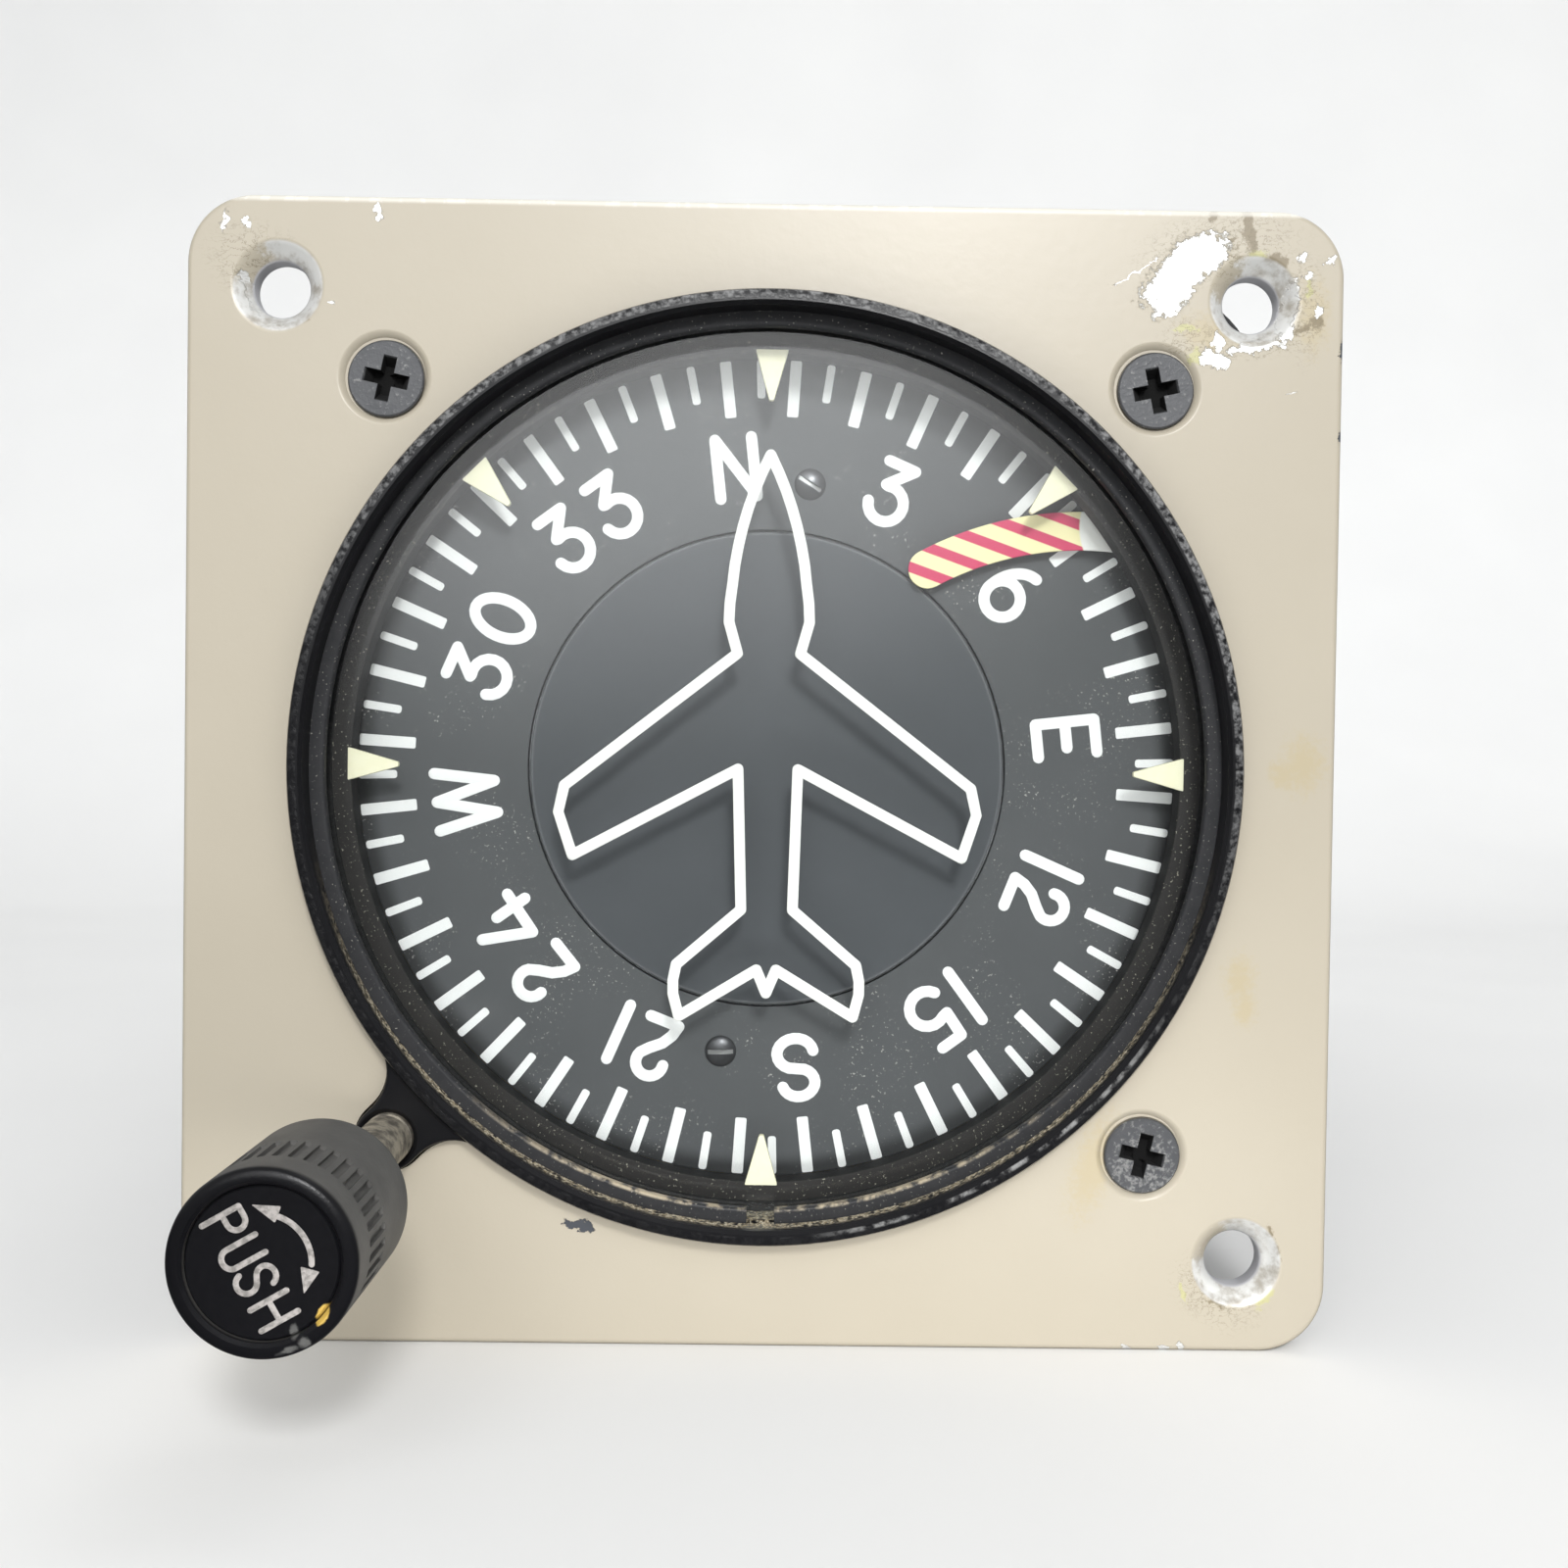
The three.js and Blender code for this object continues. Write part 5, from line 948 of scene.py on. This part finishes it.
for number, label in enumerate(labels):
    span = sum(glyphs[sign][1] - glyphs[sign][0] for sign in label) + glyph_gap * (len(label) - 1)
    left = -span / 2
    label_turn = Matrix.Rotation(-radians(30 * number + card_turn), 2)
    for sign in label:
        low, high, glyph = glyphs[sign]
        for line in glyph:
            flat = [((left - low + x) * glyph_height, y * glyph_height + glyph_foot) for x, y in line]
            lines.append([tuple(label_turn @ Vector(point)) for point in flat])
        left += high - low + glyph_gap
lettering = raise_strokes(lines, 0.43, 0.05)
move(lettering, 0, 0, -card_front)
stand_up(lettering)
add_piece("card_lettering", lettering, dial_white, "card", "mark_paint", crease=60)


# Centre disc and card screws: a thin disc in the same paint covers the middle of the card, and two
# domed slotted screws hold the card to its carrier.
def on_circle(radius, direction):
    """A place on a circle about the axis, at degrees clockwise from its top."""
    return radius * sin(radians(direction)), radius * cos(radians(direction))


disc_mesh = ring(0, 17.92, 6.49, card_back, 160)
round_edges(disc_mesh, 0.22, 3)
disc_paint = new_finish("centre_disc_paint", (0.065, 0.07, 0.077), 0.6)
disc_tone = tint(grain(disc_paint, 12.0, 3.0), (0.058, 0.063, 0.069), (0.072, 0.077, 0.084))
# Painted highlight: the disc's rounded edge is painted lighter, as if it caught the light.
disc_edge_painted_highlight = fade(from_point(disc_paint), 17.6, 17.78, 0.0, 0.7)
dress(
    disc_paint,
    colour=tint(disc_edge_painted_highlight, disc_tone, (0.16, 0.165, 0.17)),
    relief=product(grain(disc_paint, 0.16, 3.0), 0.005),
)
add_piece("painted_disc", disc_mesh, disc_paint, "card", "dial_paint", "centre_disc")

card_screws = [(on_circle(21.77, 7.9), -32), (on_circle(21.77, 188.5), 2)]
screw_steel = new_finish("dark_screw_steel", (0.1, 0.1, 0.105), 0.32, 0.7)
screw_cloud = grain(screw_steel, 0.7, 3.0)
screw_tone = tint(screw_cloud, (0.08, 0.08, 0.084), (0.14, 0.14, 0.145))
near_screws = [fade(from_point(screw_steel, *place), 1.0, 0.92) for place, slot_turn in card_screws]
slot_floor = product(largest(*near_screws), depth_share(screw_steel, 6.5, 6.53))
dress(
    screw_steel,
    colour=tint(slot_floor, screw_tone, (0.5, 0.5, 0.49)),
    roughness=fade(screw_cloud, 0.3, 0.7, 0.28, 0.4),
    relief=product(screw_cloud, 0.01),
)
dome = [
    (0, 6.29), (0.35, 6.31), (0.7, 6.38), (0.98, 6.49), (1.14, 6.6), (1.19, 6.71), (0.55, 6.71),
    (0.55, 8.7), (0, 8.7),
]
for number, (place, slot_turn) in enumerate(card_screws):
    slot = box((3, 0.34, 1), (*place, -6.05), slot_turn)
    stand_up(slot)
    screw_mesh = combine(spin_profile(dome, 40, *place), [slot])
    name, node = f"domed_screw_{number + 1}", f"card_screw_{number + 1}"
    add_piece(name, screw_mesh, screw_steel, "card", "dark_steel", node)


# Card arbor and gears: the card's carrier and arbor are turned from aluminium. The brass setting
# gear and the brass bevel gear, which the gimbal drives, are pressed on it.
def carry_over(finish, *nodes):
    """Gives plain solids that stay in the object their finish."""
    for name in nodes:
        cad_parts[name].material_slots[0].material = finish


turned_aluminium = grained_finish(
    "turned_aluminium", (0.55, 0.56, 0.58), 0.35, 1.0, (0.6, 3.0, (1, 6, 1)),
    colours=((0.48, 0.49, 0.51), (0.62, 0.63, 0.65)), gloss=(0.28, 0.46),
)
brass = grained_finish(
    "gear_brass", (0.62, 0.42, 0.15), 0.35, 1.0, (0.8, 3.0, (1, 4, 1)),
    colours=((0.5, 0.33, 0.11), (0.7, 0.49, 0.2)), gloss=(0.28, 0.5),
)
carry_over(turned_aluminium, "card_arbor")
carry_over(brass, "setting_gear", "card_gear", "gimbal_gear")


# Power flag: a thin curved strip of aluminium, striped in crimson on pale yellow, on a steel pivot
# with a magnet behind. A coil swings it back behind the mask while the gyro has power.
flag_pivot = (28.0186, 18.5451)
flag_arc_radius = 24.5
flag_half_width = 1.45
flag_arc_angle = 189.9
flag_span = radians(38.7)
flag_centre = Vector(flag_pivot) + Vector(on_circle(flag_arc_radius + 0.7, flag_arc_angle))
flag_start = radians(270 - flag_arc_angle)
flag_mesh = bmesh.new()
root_way = Vector((cos(flag_start), sin(flag_start)))
tip_way = Vector((cos(flag_start + flag_span), sin(flag_start + flag_span)))
flag_root = flag_centre + (flag_arc_radius + flag_half_width) * root_way
flag_tip = flag_centre + flag_arc_radius * tip_way
pen = flag_mesh.verts.new((*flag_root, 0))
pen = draw_arc(flag_mesh, pen, flag_centre, flag_span, 28)
pen = draw_arc(flag_mesh, pen, flag_tip, pi, 14)
pen = draw_arc(flag_mesh, pen, flag_centre, -flag_span, 28)
draw_line(flag_mesh, pen, *flag_root)
close_outline(flag_mesh)
thicken(flag_mesh, 5.69, 5.99)
round_edges(flag_mesh, 0.06, 2)
flag_mesh = combine(flag_mesh, [ring(0, 0.9, 5.69, 5.99, 32, *flag_pivot)], "UNION")
flag_mesh = combine(flag_mesh, [ring(0, 0.56, 5, 7, 24, *flag_pivot)])
stripe_lean = radians(19.5)
stripe_period = 1.844
stripe_red_share = 0.42
stripe_start = 0.252
striped_paint = new_finish("striped_flag_paint", (0.9, 0.84, 0.5), 0.55)
across = {0: places_on(striped_paint), 1: (sin(stripe_lean), 0, cos(stripe_lean))}
stripe_place = add_node("ShaderNodeVectorMath", across, operation="DOT_PRODUCT").outputs["Value"]
stripe_count = total(product(stripe_place, 1 / (stripe_period * mm)), stripe_start)
from_stripe = work_out("PINGPONG", stripe_count, 0.5)
striped_share = fade(from_point(striped_paint, *flag_pivot), 4.7, 4.85)
red_share = fade(from_stripe, stripe_red_share / 2 + 0.02, stripe_red_share / 2 - 0.02)
flag_grain = grain(striped_paint, 0.4, 3.0)
pale = tint(striped_share, (0.86, 0.85, 0.8), (0.88, 0.8, 0.44))
red = tint(flag_grain, (0.56, 0.015, 0.085), (0.68, 0.03, 0.13))
dress(
    striped_paint,
    colour=tint(product(red_share, striped_share), pale, red),
    relief=product(flag_grain, 0.01),
)
add_piece("striped_flag", flag_mesh, striped_paint, "flag", "flag_paint", "power_flag")

polished_steel = grained_finish(
    "polished_steel", (0.5, 0.51, 0.53), 0.25, 1.0, (0.5, 3.0, (1, 8, 1)), gloss=(0.18, 0.35), relief=0.01
)
winding = grained_finish(
    "enamelled_copper_winding", (0.45, 0.16, 0.06), 0.35, 0.8, (0.35, 1.0, (0.2, 4, 0.2)),
    colours=((0.36, 0.11, 0.04), (0.6, 0.24, 0.1)), relief=0.15,
)
carry_over(polished_steel, "flag_pivot")
carry_over(blackened_steel, "flag_magnet")
carry_over(winding, "flag_coil")


# Front plate, frame and gimbals: milled and turned from aluminium, with steel bearings at each
# pivot. They stand inside the case and carry the gyro.
milled_aluminium = grained_finish(
    "milled_aluminium", (0.5, 0.51, 0.53), 0.45, 1.0, (1.0, 3.0, (1, 1, 5)),
    colours=((0.43, 0.44, 0.46), (0.58, 0.59, 0.61)), gloss=(0.38, 0.58), relief=0.03,
)
carry_over(milled_aluminium, "front_plate", "gyro_frame", "outer_gimbal")
carry_over(polished_steel, "card_bearing_front", "card_bearing_rear")
carry_over(polished_steel, "gimbal_bearing_top", "gimbal_bearing_bottom")
carry_over(polished_steel, "trunnion_bearing_left", "trunnion_bearing_right")
carry_over(polished_steel, "rotor_bearing_front", "rotor_bearing_rear")


# Rotor: a heavy steel wheel in a turned aluminium housing. The stator inside the wheel's rim is a
# wound coil, and turns it at high speed.
rotor_steel = grained_finish(
    "balanced_rotor_steel", (0.2, 0.2, 0.21), 0.3, 1.0, (0.7, 3.0, (1, 6, 1)),
    colours=((0.16, 0.16, 0.17), (0.26, 0.26, 0.27)),
)
carry_over(rotor_steel, "rotor")
carry_over(turned_aluminium, "rotor_housing", "housing_cap")
carry_over(winding, "stator")


# Inverter: a green circuit board on brass standoffs, with a laminated transformer and a capacitor
# in an aluminium can. It makes the rotor's supply.
board_green = new_finish("circuit_board_green", (0.03, 0.16, 0.07), 0.4)
tracks = fade(grain(board_green, 2.5, 1.0), 0.53, 0.55)
dress(board_green, colour=tint(tracks, (0.02, 0.12, 0.05), (0.06, 0.26, 0.12)), relief=product(tracks, 0.04))
laminated_steel = grained_finish(
    "laminated_core", (0.12, 0.12, 0.13), 0.5, 0.8, (0.6, 1.0, (0.05, 3, 0.05)),
    colours=((0.07, 0.07, 0.08), (0.2, 0.2, 0.21)), relief=0.12,
)
carry_over(board_green, "inverter_board")
carry_over(brass, "board_standoff_1", "board_standoff_2", "board_standoff_3")
carry_over(laminated_steel, "transformer")
carry_over(turned_aluminium, "capacitor")


# Setting knob: black moulded plastic with a band of flutes for the fingers. A cap let into its face
# has a worn word and a curved arrow, and a small chip shows the brass under it.
knob_radius = 5.25
flute_front = -26.2
flute_back = -22.8
flute_count = 38
knob_profile = [
    (0, -27.9), (4.3, -27.9), (4.3, -28.5), (4.5, -28.7), (4.75, -28.7), (5.02, -28.62),
    (5.19, -28.45), (knob_radius, -28.2), (knob_radius, -17.4), (5.17, -16.98), (4.93, -16.62),
    (4.57, -16.38), (4.15, -16.3), (1.83, -16.3), (1.83, -24.9), (0, -24.9),
]
flutes = bmesh.new()
for number in range(flute_count):
    flute = bmesh.ops.create_cube(flutes, size=1)["verts"]
    bmesh.ops.scale(flutes, vec=(0.5, 0.62, flute_back - flute_front), verts=flute)
    move(flutes, 0, knob_radius + 0.03, 0, flute)
    turn(flutes, 360 * number / flute_count, flute)
move(flutes, *knob_place, -(flute_front + flute_back) / 2)
stand_up(flutes)
round_edges(flutes, 0.14, 2)
knob_mesh = combine(spin_profile(knob_profile, 128, *knob_place), [flutes])
brass_chip = (knob_axis + 3.31, knob_axis - 2.7, 0.34, 0.58, -32)
scuffs = [
    (knob_axis + 1.77, knob_axis - 3.62, 0.22, 0.4, 10),
    (knob_axis + 2.38, knob_axis - 4.18, 0.3, 0.3, 0),
    (knob_axis + 1.54, knob_axis - 4.6, 0.5, 0.16, 20),
]


def add_chips(finish, tone):
    """Puts the knob's brass chip and pale scuffs on a tone, and gives the new tone."""
    scuffed = product(patches(finish, scuffs, 1.5, 0.4, 0.4), 0.6, depth_share(finish, -27.6, -28.1))
    chipped = product(patches(finish, [brass_chip], 0.5, 0.15, 0.3), depth_share(finish, -27.6, -28.0))
    return tint(chipped, tint(scuffed, tone, (0.12, 0.12, 0.115)), (0.42, 0.28, 0.06))


knob_plastic = new_finish("knob_plastic", (0.04, 0.04, 0.04), 0.5, shine=0.25)
# Painted shade: the knob's front face is painted near black, darker than its grey sides. The front is also
# glossier.
front_face_with_painted_shade = depth_share(knob_plastic, -28.1, -28.5)
side_tone = tint(grain(knob_plastic, 3.0, 3.0), (0.055, 0.054, 0.052), (0.13, 0.126, 0.118))
dress(
    knob_plastic,
    colour=add_chips(knob_plastic, tint(front_face_with_painted_shade, side_tone, (0.004, 0.004, 0.005))),
    roughness=fade(front_face_with_painted_shade, 0.0, 1.0, 0.6, 0.3),
    relief=product(grain(knob_plastic, 0.3, 4.0), 0.02),
)
add_piece("fluted_knob", knob_mesh, knob_plastic, "knob", "black_plastic", "set_knob")

cap_front = -28.38
cap_back = -27.93
cap_profile = [(0, cap_front), (4.1, cap_front), (4.24, -28.24), (4.24, cap_back), (0, cap_back)]
cap_plastic = new_finish("cap_plastic", (0.003, 0.003, 0.004), 0.4, shine=0.15)
cap_grain = grain(cap_plastic, 0.4, 4.0)
cap_tone = tint(cap_grain, (0.002, 0.002, 0.003), (0.006, 0.006, 0.007))
dress(cap_plastic, colour=add_chips(cap_plastic, cap_tone), relief=product(cap_grain, 0.008))
cap_mesh = spin_profile(cap_profile, 96, *knob_place)
add_piece("face_cap", cap_mesh, cap_plastic, "knob", "black_plastic", "knob_cap")

mark_height = 0.04
word = [
    [(-3.31, -1.84), (-3.31, 0.42), (-2.7, 0.42)] + bow(-2.7, -0.1, 0.53, 0.52, 85, -90) + [(-3.31, -0.62)],
    [(-1.54, 0.45), (-1.54, -1.35)] + bow(-0.99, -1.35, 0.55, 0.52, 190, 350) + [(-0.44, 0.47)],
    bow(0.7, -0.13, 0.55, 0.52, 15, 240) + bow(0.55, -1.28, 0.56, 0.57, 62, -165),
    [(1.92, -1.82), (1.92, 0.42)],
    [(3.19, -1.85), (3.19, 0.42)],
    [(1.92, -0.7), (3.19, -0.7)],
]
word_turn = Matrix.Rotation(radians(-60), 2)
turned_word = [[tuple(word_turn @ Vector(point)) for point in line] for line in word]
arrow_shaft = bow(0, 0, 2.66, 2.66, 71, -1, 20)
knob_marks = raise_strokes(turned_word + [arrow_shaft], 0.165, mark_height)
arrow_heads = bmesh.new()
add_face(arrow_heads, [(-0.59, 3.16), (0.69, 2.19), (1.01, 3.09)])
add_face(arrow_heads, [(2.27, -1.63), (3.1, -0.43), (2.07, -0.16)])
round_corners(arrow_heads, 0.08, 3)
raise_faces(arrow_heads, arrow_heads.faces[:], mark_height)
heads_data = bpy.data.meshes.new("arrow_heads")
arrow_heads.to_mesh(heads_data)
arrow_heads.free()
knob_marks.from_mesh(heads_data)
bpy.data.meshes.remove(heads_data)
move(knob_marks, *knob_place, -cap_front)
stand_up(knob_marks)
worn_white = new_finish("worn_white_paint", (0.3, 0.28, 0.27), 0.6)
worn_grain = fade(grain(worn_white, 0.35, 5.0), 0.4, 0.65)
worn_tone = tint(worn_grain, (0.3, 0.28, 0.265), (0.16, 0.15, 0.14))
dress(worn_white, colour=worn_tone, relief=product(worn_grain, 0.02))
add_piece("knob_marks", knob_marks, worn_white, "knob", "mark_paint", crease=60)
carry_over(blackened_steel, "knob_set_screw")


# Knob shaft, bush and slider: the steel shaft runs in a brass bush and turns in a brass yoke, and a
# coil spring pushes them back out.
shaft_radius = 1.8
pinion_root = 4.763
pinion_tip = 5.883
tooth_count = 8
shaft_steel = new_finish("worn_shaft_steel", (0.2, 0.18, 0.15), 0.7, 0.25)
shaft_grain = grain(shaft_steel, 0.9, 4.0)
shaft_tone = tint(fade(shaft_grain, 0.35, 0.65), (0.1, 0.09, 0.075), (0.32, 0.29, 0.23))
dress(shaft_steel, colour=shaft_tone, relief=product(shaft_grain, 0.05))
shaft_profile = [
    (0, -24.87), (1.55, -24.87), (shaft_radius, -24.6), (shaft_radius, -1.6), (1.68, -1.5),
    (1.68, -1.2), (shaft_radius, -1.1), (shaft_radius, 20.6), (1.45, 20.96), (0, 20.96),
]
pinion_corners = []
for tooth in range(tooth_count):
    for radius, share in [(pinion_root, -0.36), (pinion_tip, -0.13), (pinion_tip, 0.13), (pinion_root, 0.36)]:
        angle = 2 * pi * (tooth + share) / tooth_count
        pinion_corners.append((knob_axis + radius * cos(angle), knob_axis + radius * sin(angle)))
pinion_mesh = bmesh.new()
add_face(pinion_mesh, pinion_corners)
thicken(pinion_mesh, 5.5, 7.1)
round_edges(pinion_mesh, 0.08, 2)
shaft_mesh = combine(spin_profile(shaft_profile, 64, *knob_place), [pinion_mesh], "UNION")
add_piece("shaft_and_pinion", shaft_mesh, shaft_steel, "knob", "dark_steel", "knob_shaft")
bush_profile = [
    (1.86, 2.6), (2.0, 2.46), (2.76, 2.46), (2.9, 2.6), (2.9, 5.06), (2.76, 5.2), (2.0, 5.2),
    (1.86, 5.06),
]
add_piece("turned_bush", spin_profile(bush_profile, 64, *knob_place), brass, "case", "brass", "knob_bush")
carry_over(brass, "push_yoke")
spring_coils = 6
spring_start = 8.98
spring_rise = 10.8
spring_steps = 32 * spring_coils
spring_mesh = bmesh.new()
wire_end = bmesh.ops.create_circle(spring_mesh, cap_ends=True, segments=12, radius=0.35)["verts"]
move(spring_mesh, 3.0, spring_start, 0, wire_end)
bmesh.ops.spin(
    spring_mesh,
    geom=spring_mesh.faces[:],
    cent=(0, 0, 0),
    axis=(0, 1, 0),
    dvec=(0, spring_rise / spring_steps, 0),
    angle=2 * pi * spring_coils,
    steps=spring_steps,
)
move(spring_mesh, knob_axis, 0, knob_axis)
bmesh.ops.scale(spring_mesh, vec=(mm, mm, mm), verts=spring_mesh.verts)
bmesh.ops.recalc_face_normals(spring_mesh, faces=spring_mesh.faces)
coil_spring = add_piece("coil_spring", spring_mesh, spring_steel, "case", "spring_steel", "return_spring")
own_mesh(coil_spring)


# Case: a deep can spun from aluminium with two rolled beads. It has four ears at its front for the
# flange's screws and the knob's shaft, and a thick rim at its back. It is in black wrinkle paint.
case_front = 14.97
case_back = 139.97
ear_back = 24.97
bead_depth = 0.45
bead_shape = [(-1.6, 0), (-1.1, 0.15), (-0.6, 0.7), (0, 1), (0.6, 0.7), (1.1, 0.15), (1.6, 0)]
rear_screws = [(30.311, 17.5), (0, -35), (-30.311, 17.5)]
wrinkle_paint = new_finish("black_wrinkle_paint", (0.018, 0.018, 0.02), 0.55)
wrinkle_waves = work_out("PINGPONG", product(grain(wrinkle_paint, 0.9, 3.0), 6.0), 0.5)
wrinkle_ridges = fade(wrinkle_waves, 0.0, 0.5)
dress(
    wrinkle_paint,
    colour=tint(wrinkle_ridges, (0.012, 0.012, 0.013), (0.03, 0.03, 0.032)),
    roughness=fade(wrinkle_ridges, 0.0, 1.0, 0.7, 0.42),
    relief=product(wrinkle_ridges, 0.09),
)
can_profile = [(0, case_front), (casting_radius - 0.4, case_front), (casting_radius, case_front + 0.4)]
for bead_middle in (31.0, 128.0):
    for step_back, share in bead_shape:
        can_profile.append((casting_radius - share * bead_depth, bead_middle + step_back))
can_profile += [(casting_radius, case_back - 0.5), (casting_radius - 0.5, case_back), (0, case_back)]
ear_profile = [
    (0, case_front),
    (ear_radius - 0.4, case_front),
    (ear_radius, case_front + 0.4),
    (ear_radius, ear_back - 1.6),
    (ear_radius - 0.25, ear_back - 0.9),
    (ear_radius - 0.9, ear_back - 0.25),
    (ear_radius - 1.6, ear_back),
    (0, ear_back),
]
can_ears = [spin_profile(ear_profile, 64, *ear_place) for ear_place in ear_places]
can_mesh = combine(spin_profile(can_profile), can_ears, "UNION")
can_bore = [
    (0, 13), (36.2, 13), (36.2, ear_back), (37.4, ear_back), (37.4, 133.97), (32.4, 133.97),
    (32.4, 142), (0, 142),
]
can_tools = [
    spin_profile(can_bore),
    ring(0, 4.15, 13, 20.16, 48, *knob_place),
    ring(0, 1.86, 13, 24.23, 40, *knob_place),
]
can_tools += [ring(0, screw_hole_radius, 13, 20, 32, *place) for place in flange_screws]
can_tools += [ring(0, screw_hole_radius, 135.97, 142, 32, *place) for place in rear_screws]
add_piece("beaded_can", combine(can_mesh, can_tools), wrinkle_paint, "case", "case_paint", "case_shell")


# Rear cover: a flat turned disc in the same paint, with a step round its edge. Three flat head
# screws with one slot each hold it to the can's rim.
cover_front = 140.0
cover_back = 143.0
cover_bore = 7.4
cover_edge = [(0, 0.9), (0.12, 0.6), (0.4, 0.5), (0.95, 0.5), (1.2, 0.4), (1.4, 0.1), (1.7, 0)]
cover_profile = [(cover_bore, cover_front), (casting_radius, cover_front)]
cover_profile += [(casting_radius - inward, cover_back - forward) for inward, forward in cover_edge]
cover_profile.append((cover_bore, cover_back))
cover_seat = [
    (0, 144), (2.66, 144), (2.66, cover_back), (screw_hole_radius, 141.7), (screw_hole_radius, 139),
    (0, 139),
]
cover_seats = [spin_profile(cover_seat, 48, *place) for place in rear_screws]
cover_mesh = combine(spin_profile(cover_profile), cover_seats)
add_piece("turned_cover", cover_mesh, wrinkle_paint, "case", "case_paint", "rear_cover")

rear_head = [
    (0, 136), (1.15, 136), (1.4, 136.25), (1.4, 141.7), (2.5, cover_back - 0.12),
    (2.5, cover_back - 0.1), (2.42, cover_back), (0, cover_back),
]
slot_turns = [25, -40, 70]
for number, place in enumerate(rear_screws):
    slot = box((7, 0.7, 2), (*place, -0.35 - cover_back), slot_turns[number])
    stand_up(slot)
    slotted = combine(spin_profile(rear_head, 48, *place), [slot])
    name, node = f"slotted_screw_{number + 1}", f"rear_screw_{number + 1}"
    add_piece(name, slotted, blackened_steel, "case", "dark_steel", node)


# Connector: an anodised aluminium shell with a thread and a key slot, riveted to the rear cover. Its
# moulded insert carries three gilded pins.
shell_front = 143.03
shell_back = 158.03
shell_radius = 9.5
thread_start = 149.6
thread_pitch = 0.9
thread_count = 8
thread_root = 9.14
pin_places = [on_circle(5.4, direction) for direction in (0, 120, 240)]
shell_profile = [
    (8.4, shell_front), (12.3, shell_front), (12.5, shell_front + 0.2), (12.5, 144.43), (12.3, 144.63),
    (9.7, 144.63), (shell_radius, 144.83), (shell_radius, thread_start),
]
for number in range(thread_count):
    ridge = thread_start + number * thread_pitch
    shell_profile += [(thread_root, ridge + 0.3), (thread_root, ridge + 0.4)]
    shell_profile += [(shell_radius, ridge + 0.75), (shell_radius, ridge + thread_pitch)]
shell_profile += [(shell_radius, shell_back - 0.4), (9.25, shell_back), (8.6, shell_back)]
shell_profile.append((8.4, shell_back - 0.2))
key_slot = box((1.6, 1.2, 12), (0, 8.4, -154.6))
stand_up(key_slot)
shell_mesh = combine(spin_profile(shell_profile, 128), [key_slot])
rivet = [(0, 144), (0.85, 144), (0.85, 144.68), (0.72, 144.86), (0.45, 144.99), (0, 145.03)]
rivets = [spin_profile(rivet, 24, *on_circle(11.1, direction)) for direction in (45, 135, 225, 315)]
shell_mesh = combine(shell_mesh, rivets, "UNION")
anodised = grained_finish(
    "anodised_aluminium", (0.42, 0.43, 0.42), 0.42, 0.9, (0.7, 3.0, (1, 5, 1)),
    colours=((0.36, 0.37, 0.36), (0.5, 0.51, 0.49)),
)
add_piece("threaded_shell", shell_mesh, anodised, "case", "aluminium", "connector_shell")

insert_profile = [(0, shell_front), (8.3, shell_front), (8.3, 147.73), (8.0, 148.03), (0, 148.03)]
hole = [(0, 142), (0.86, 142), (0.86, 147.8), (1.09, 148.03), (1.09, 149), (0, 149)]
pin_holes = [spin_profile(hole, 32, *place) for place in pin_places]
insert_mesh = combine(spin_profile(insert_profile, 96), pin_holes)
insulator = grained_finish(
    "moulded_insulator", (0.12, 0.04, 0.02), 0.5, 0.0, (0.6, 3.0),
    colours=((0.1, 0.03, 0.015), (0.16, 0.06, 0.03)),
)
add_piece("moulded_insert", insert_mesh, insulator, "case", "insulator", "connector_insert")

gilt = grained_finish(
    "gilded_pin", (0.8, 0.58, 0.22), 0.25, 1.0, (0.5, 3.0, (1, 5, 1)), gloss=(0.18, 0.36), relief=0.01
)
pin_profile = [
    (0, 140.03), (0.6, 140.03), (0.8, 140.23), (0.8, 152.73), (0.74, 153.04), (0.57, 153.3),
    (0.31, 153.47), (0, 153.53),
]
for number, place in enumerate(pin_places):
    pin_mesh = spin_profile(pin_profile, 32, *place)
    add_piece(f"gilded_pin_{number + 1}", pin_mesh, gilt, "case", "brass", f"connector_pin_{number + 1}")
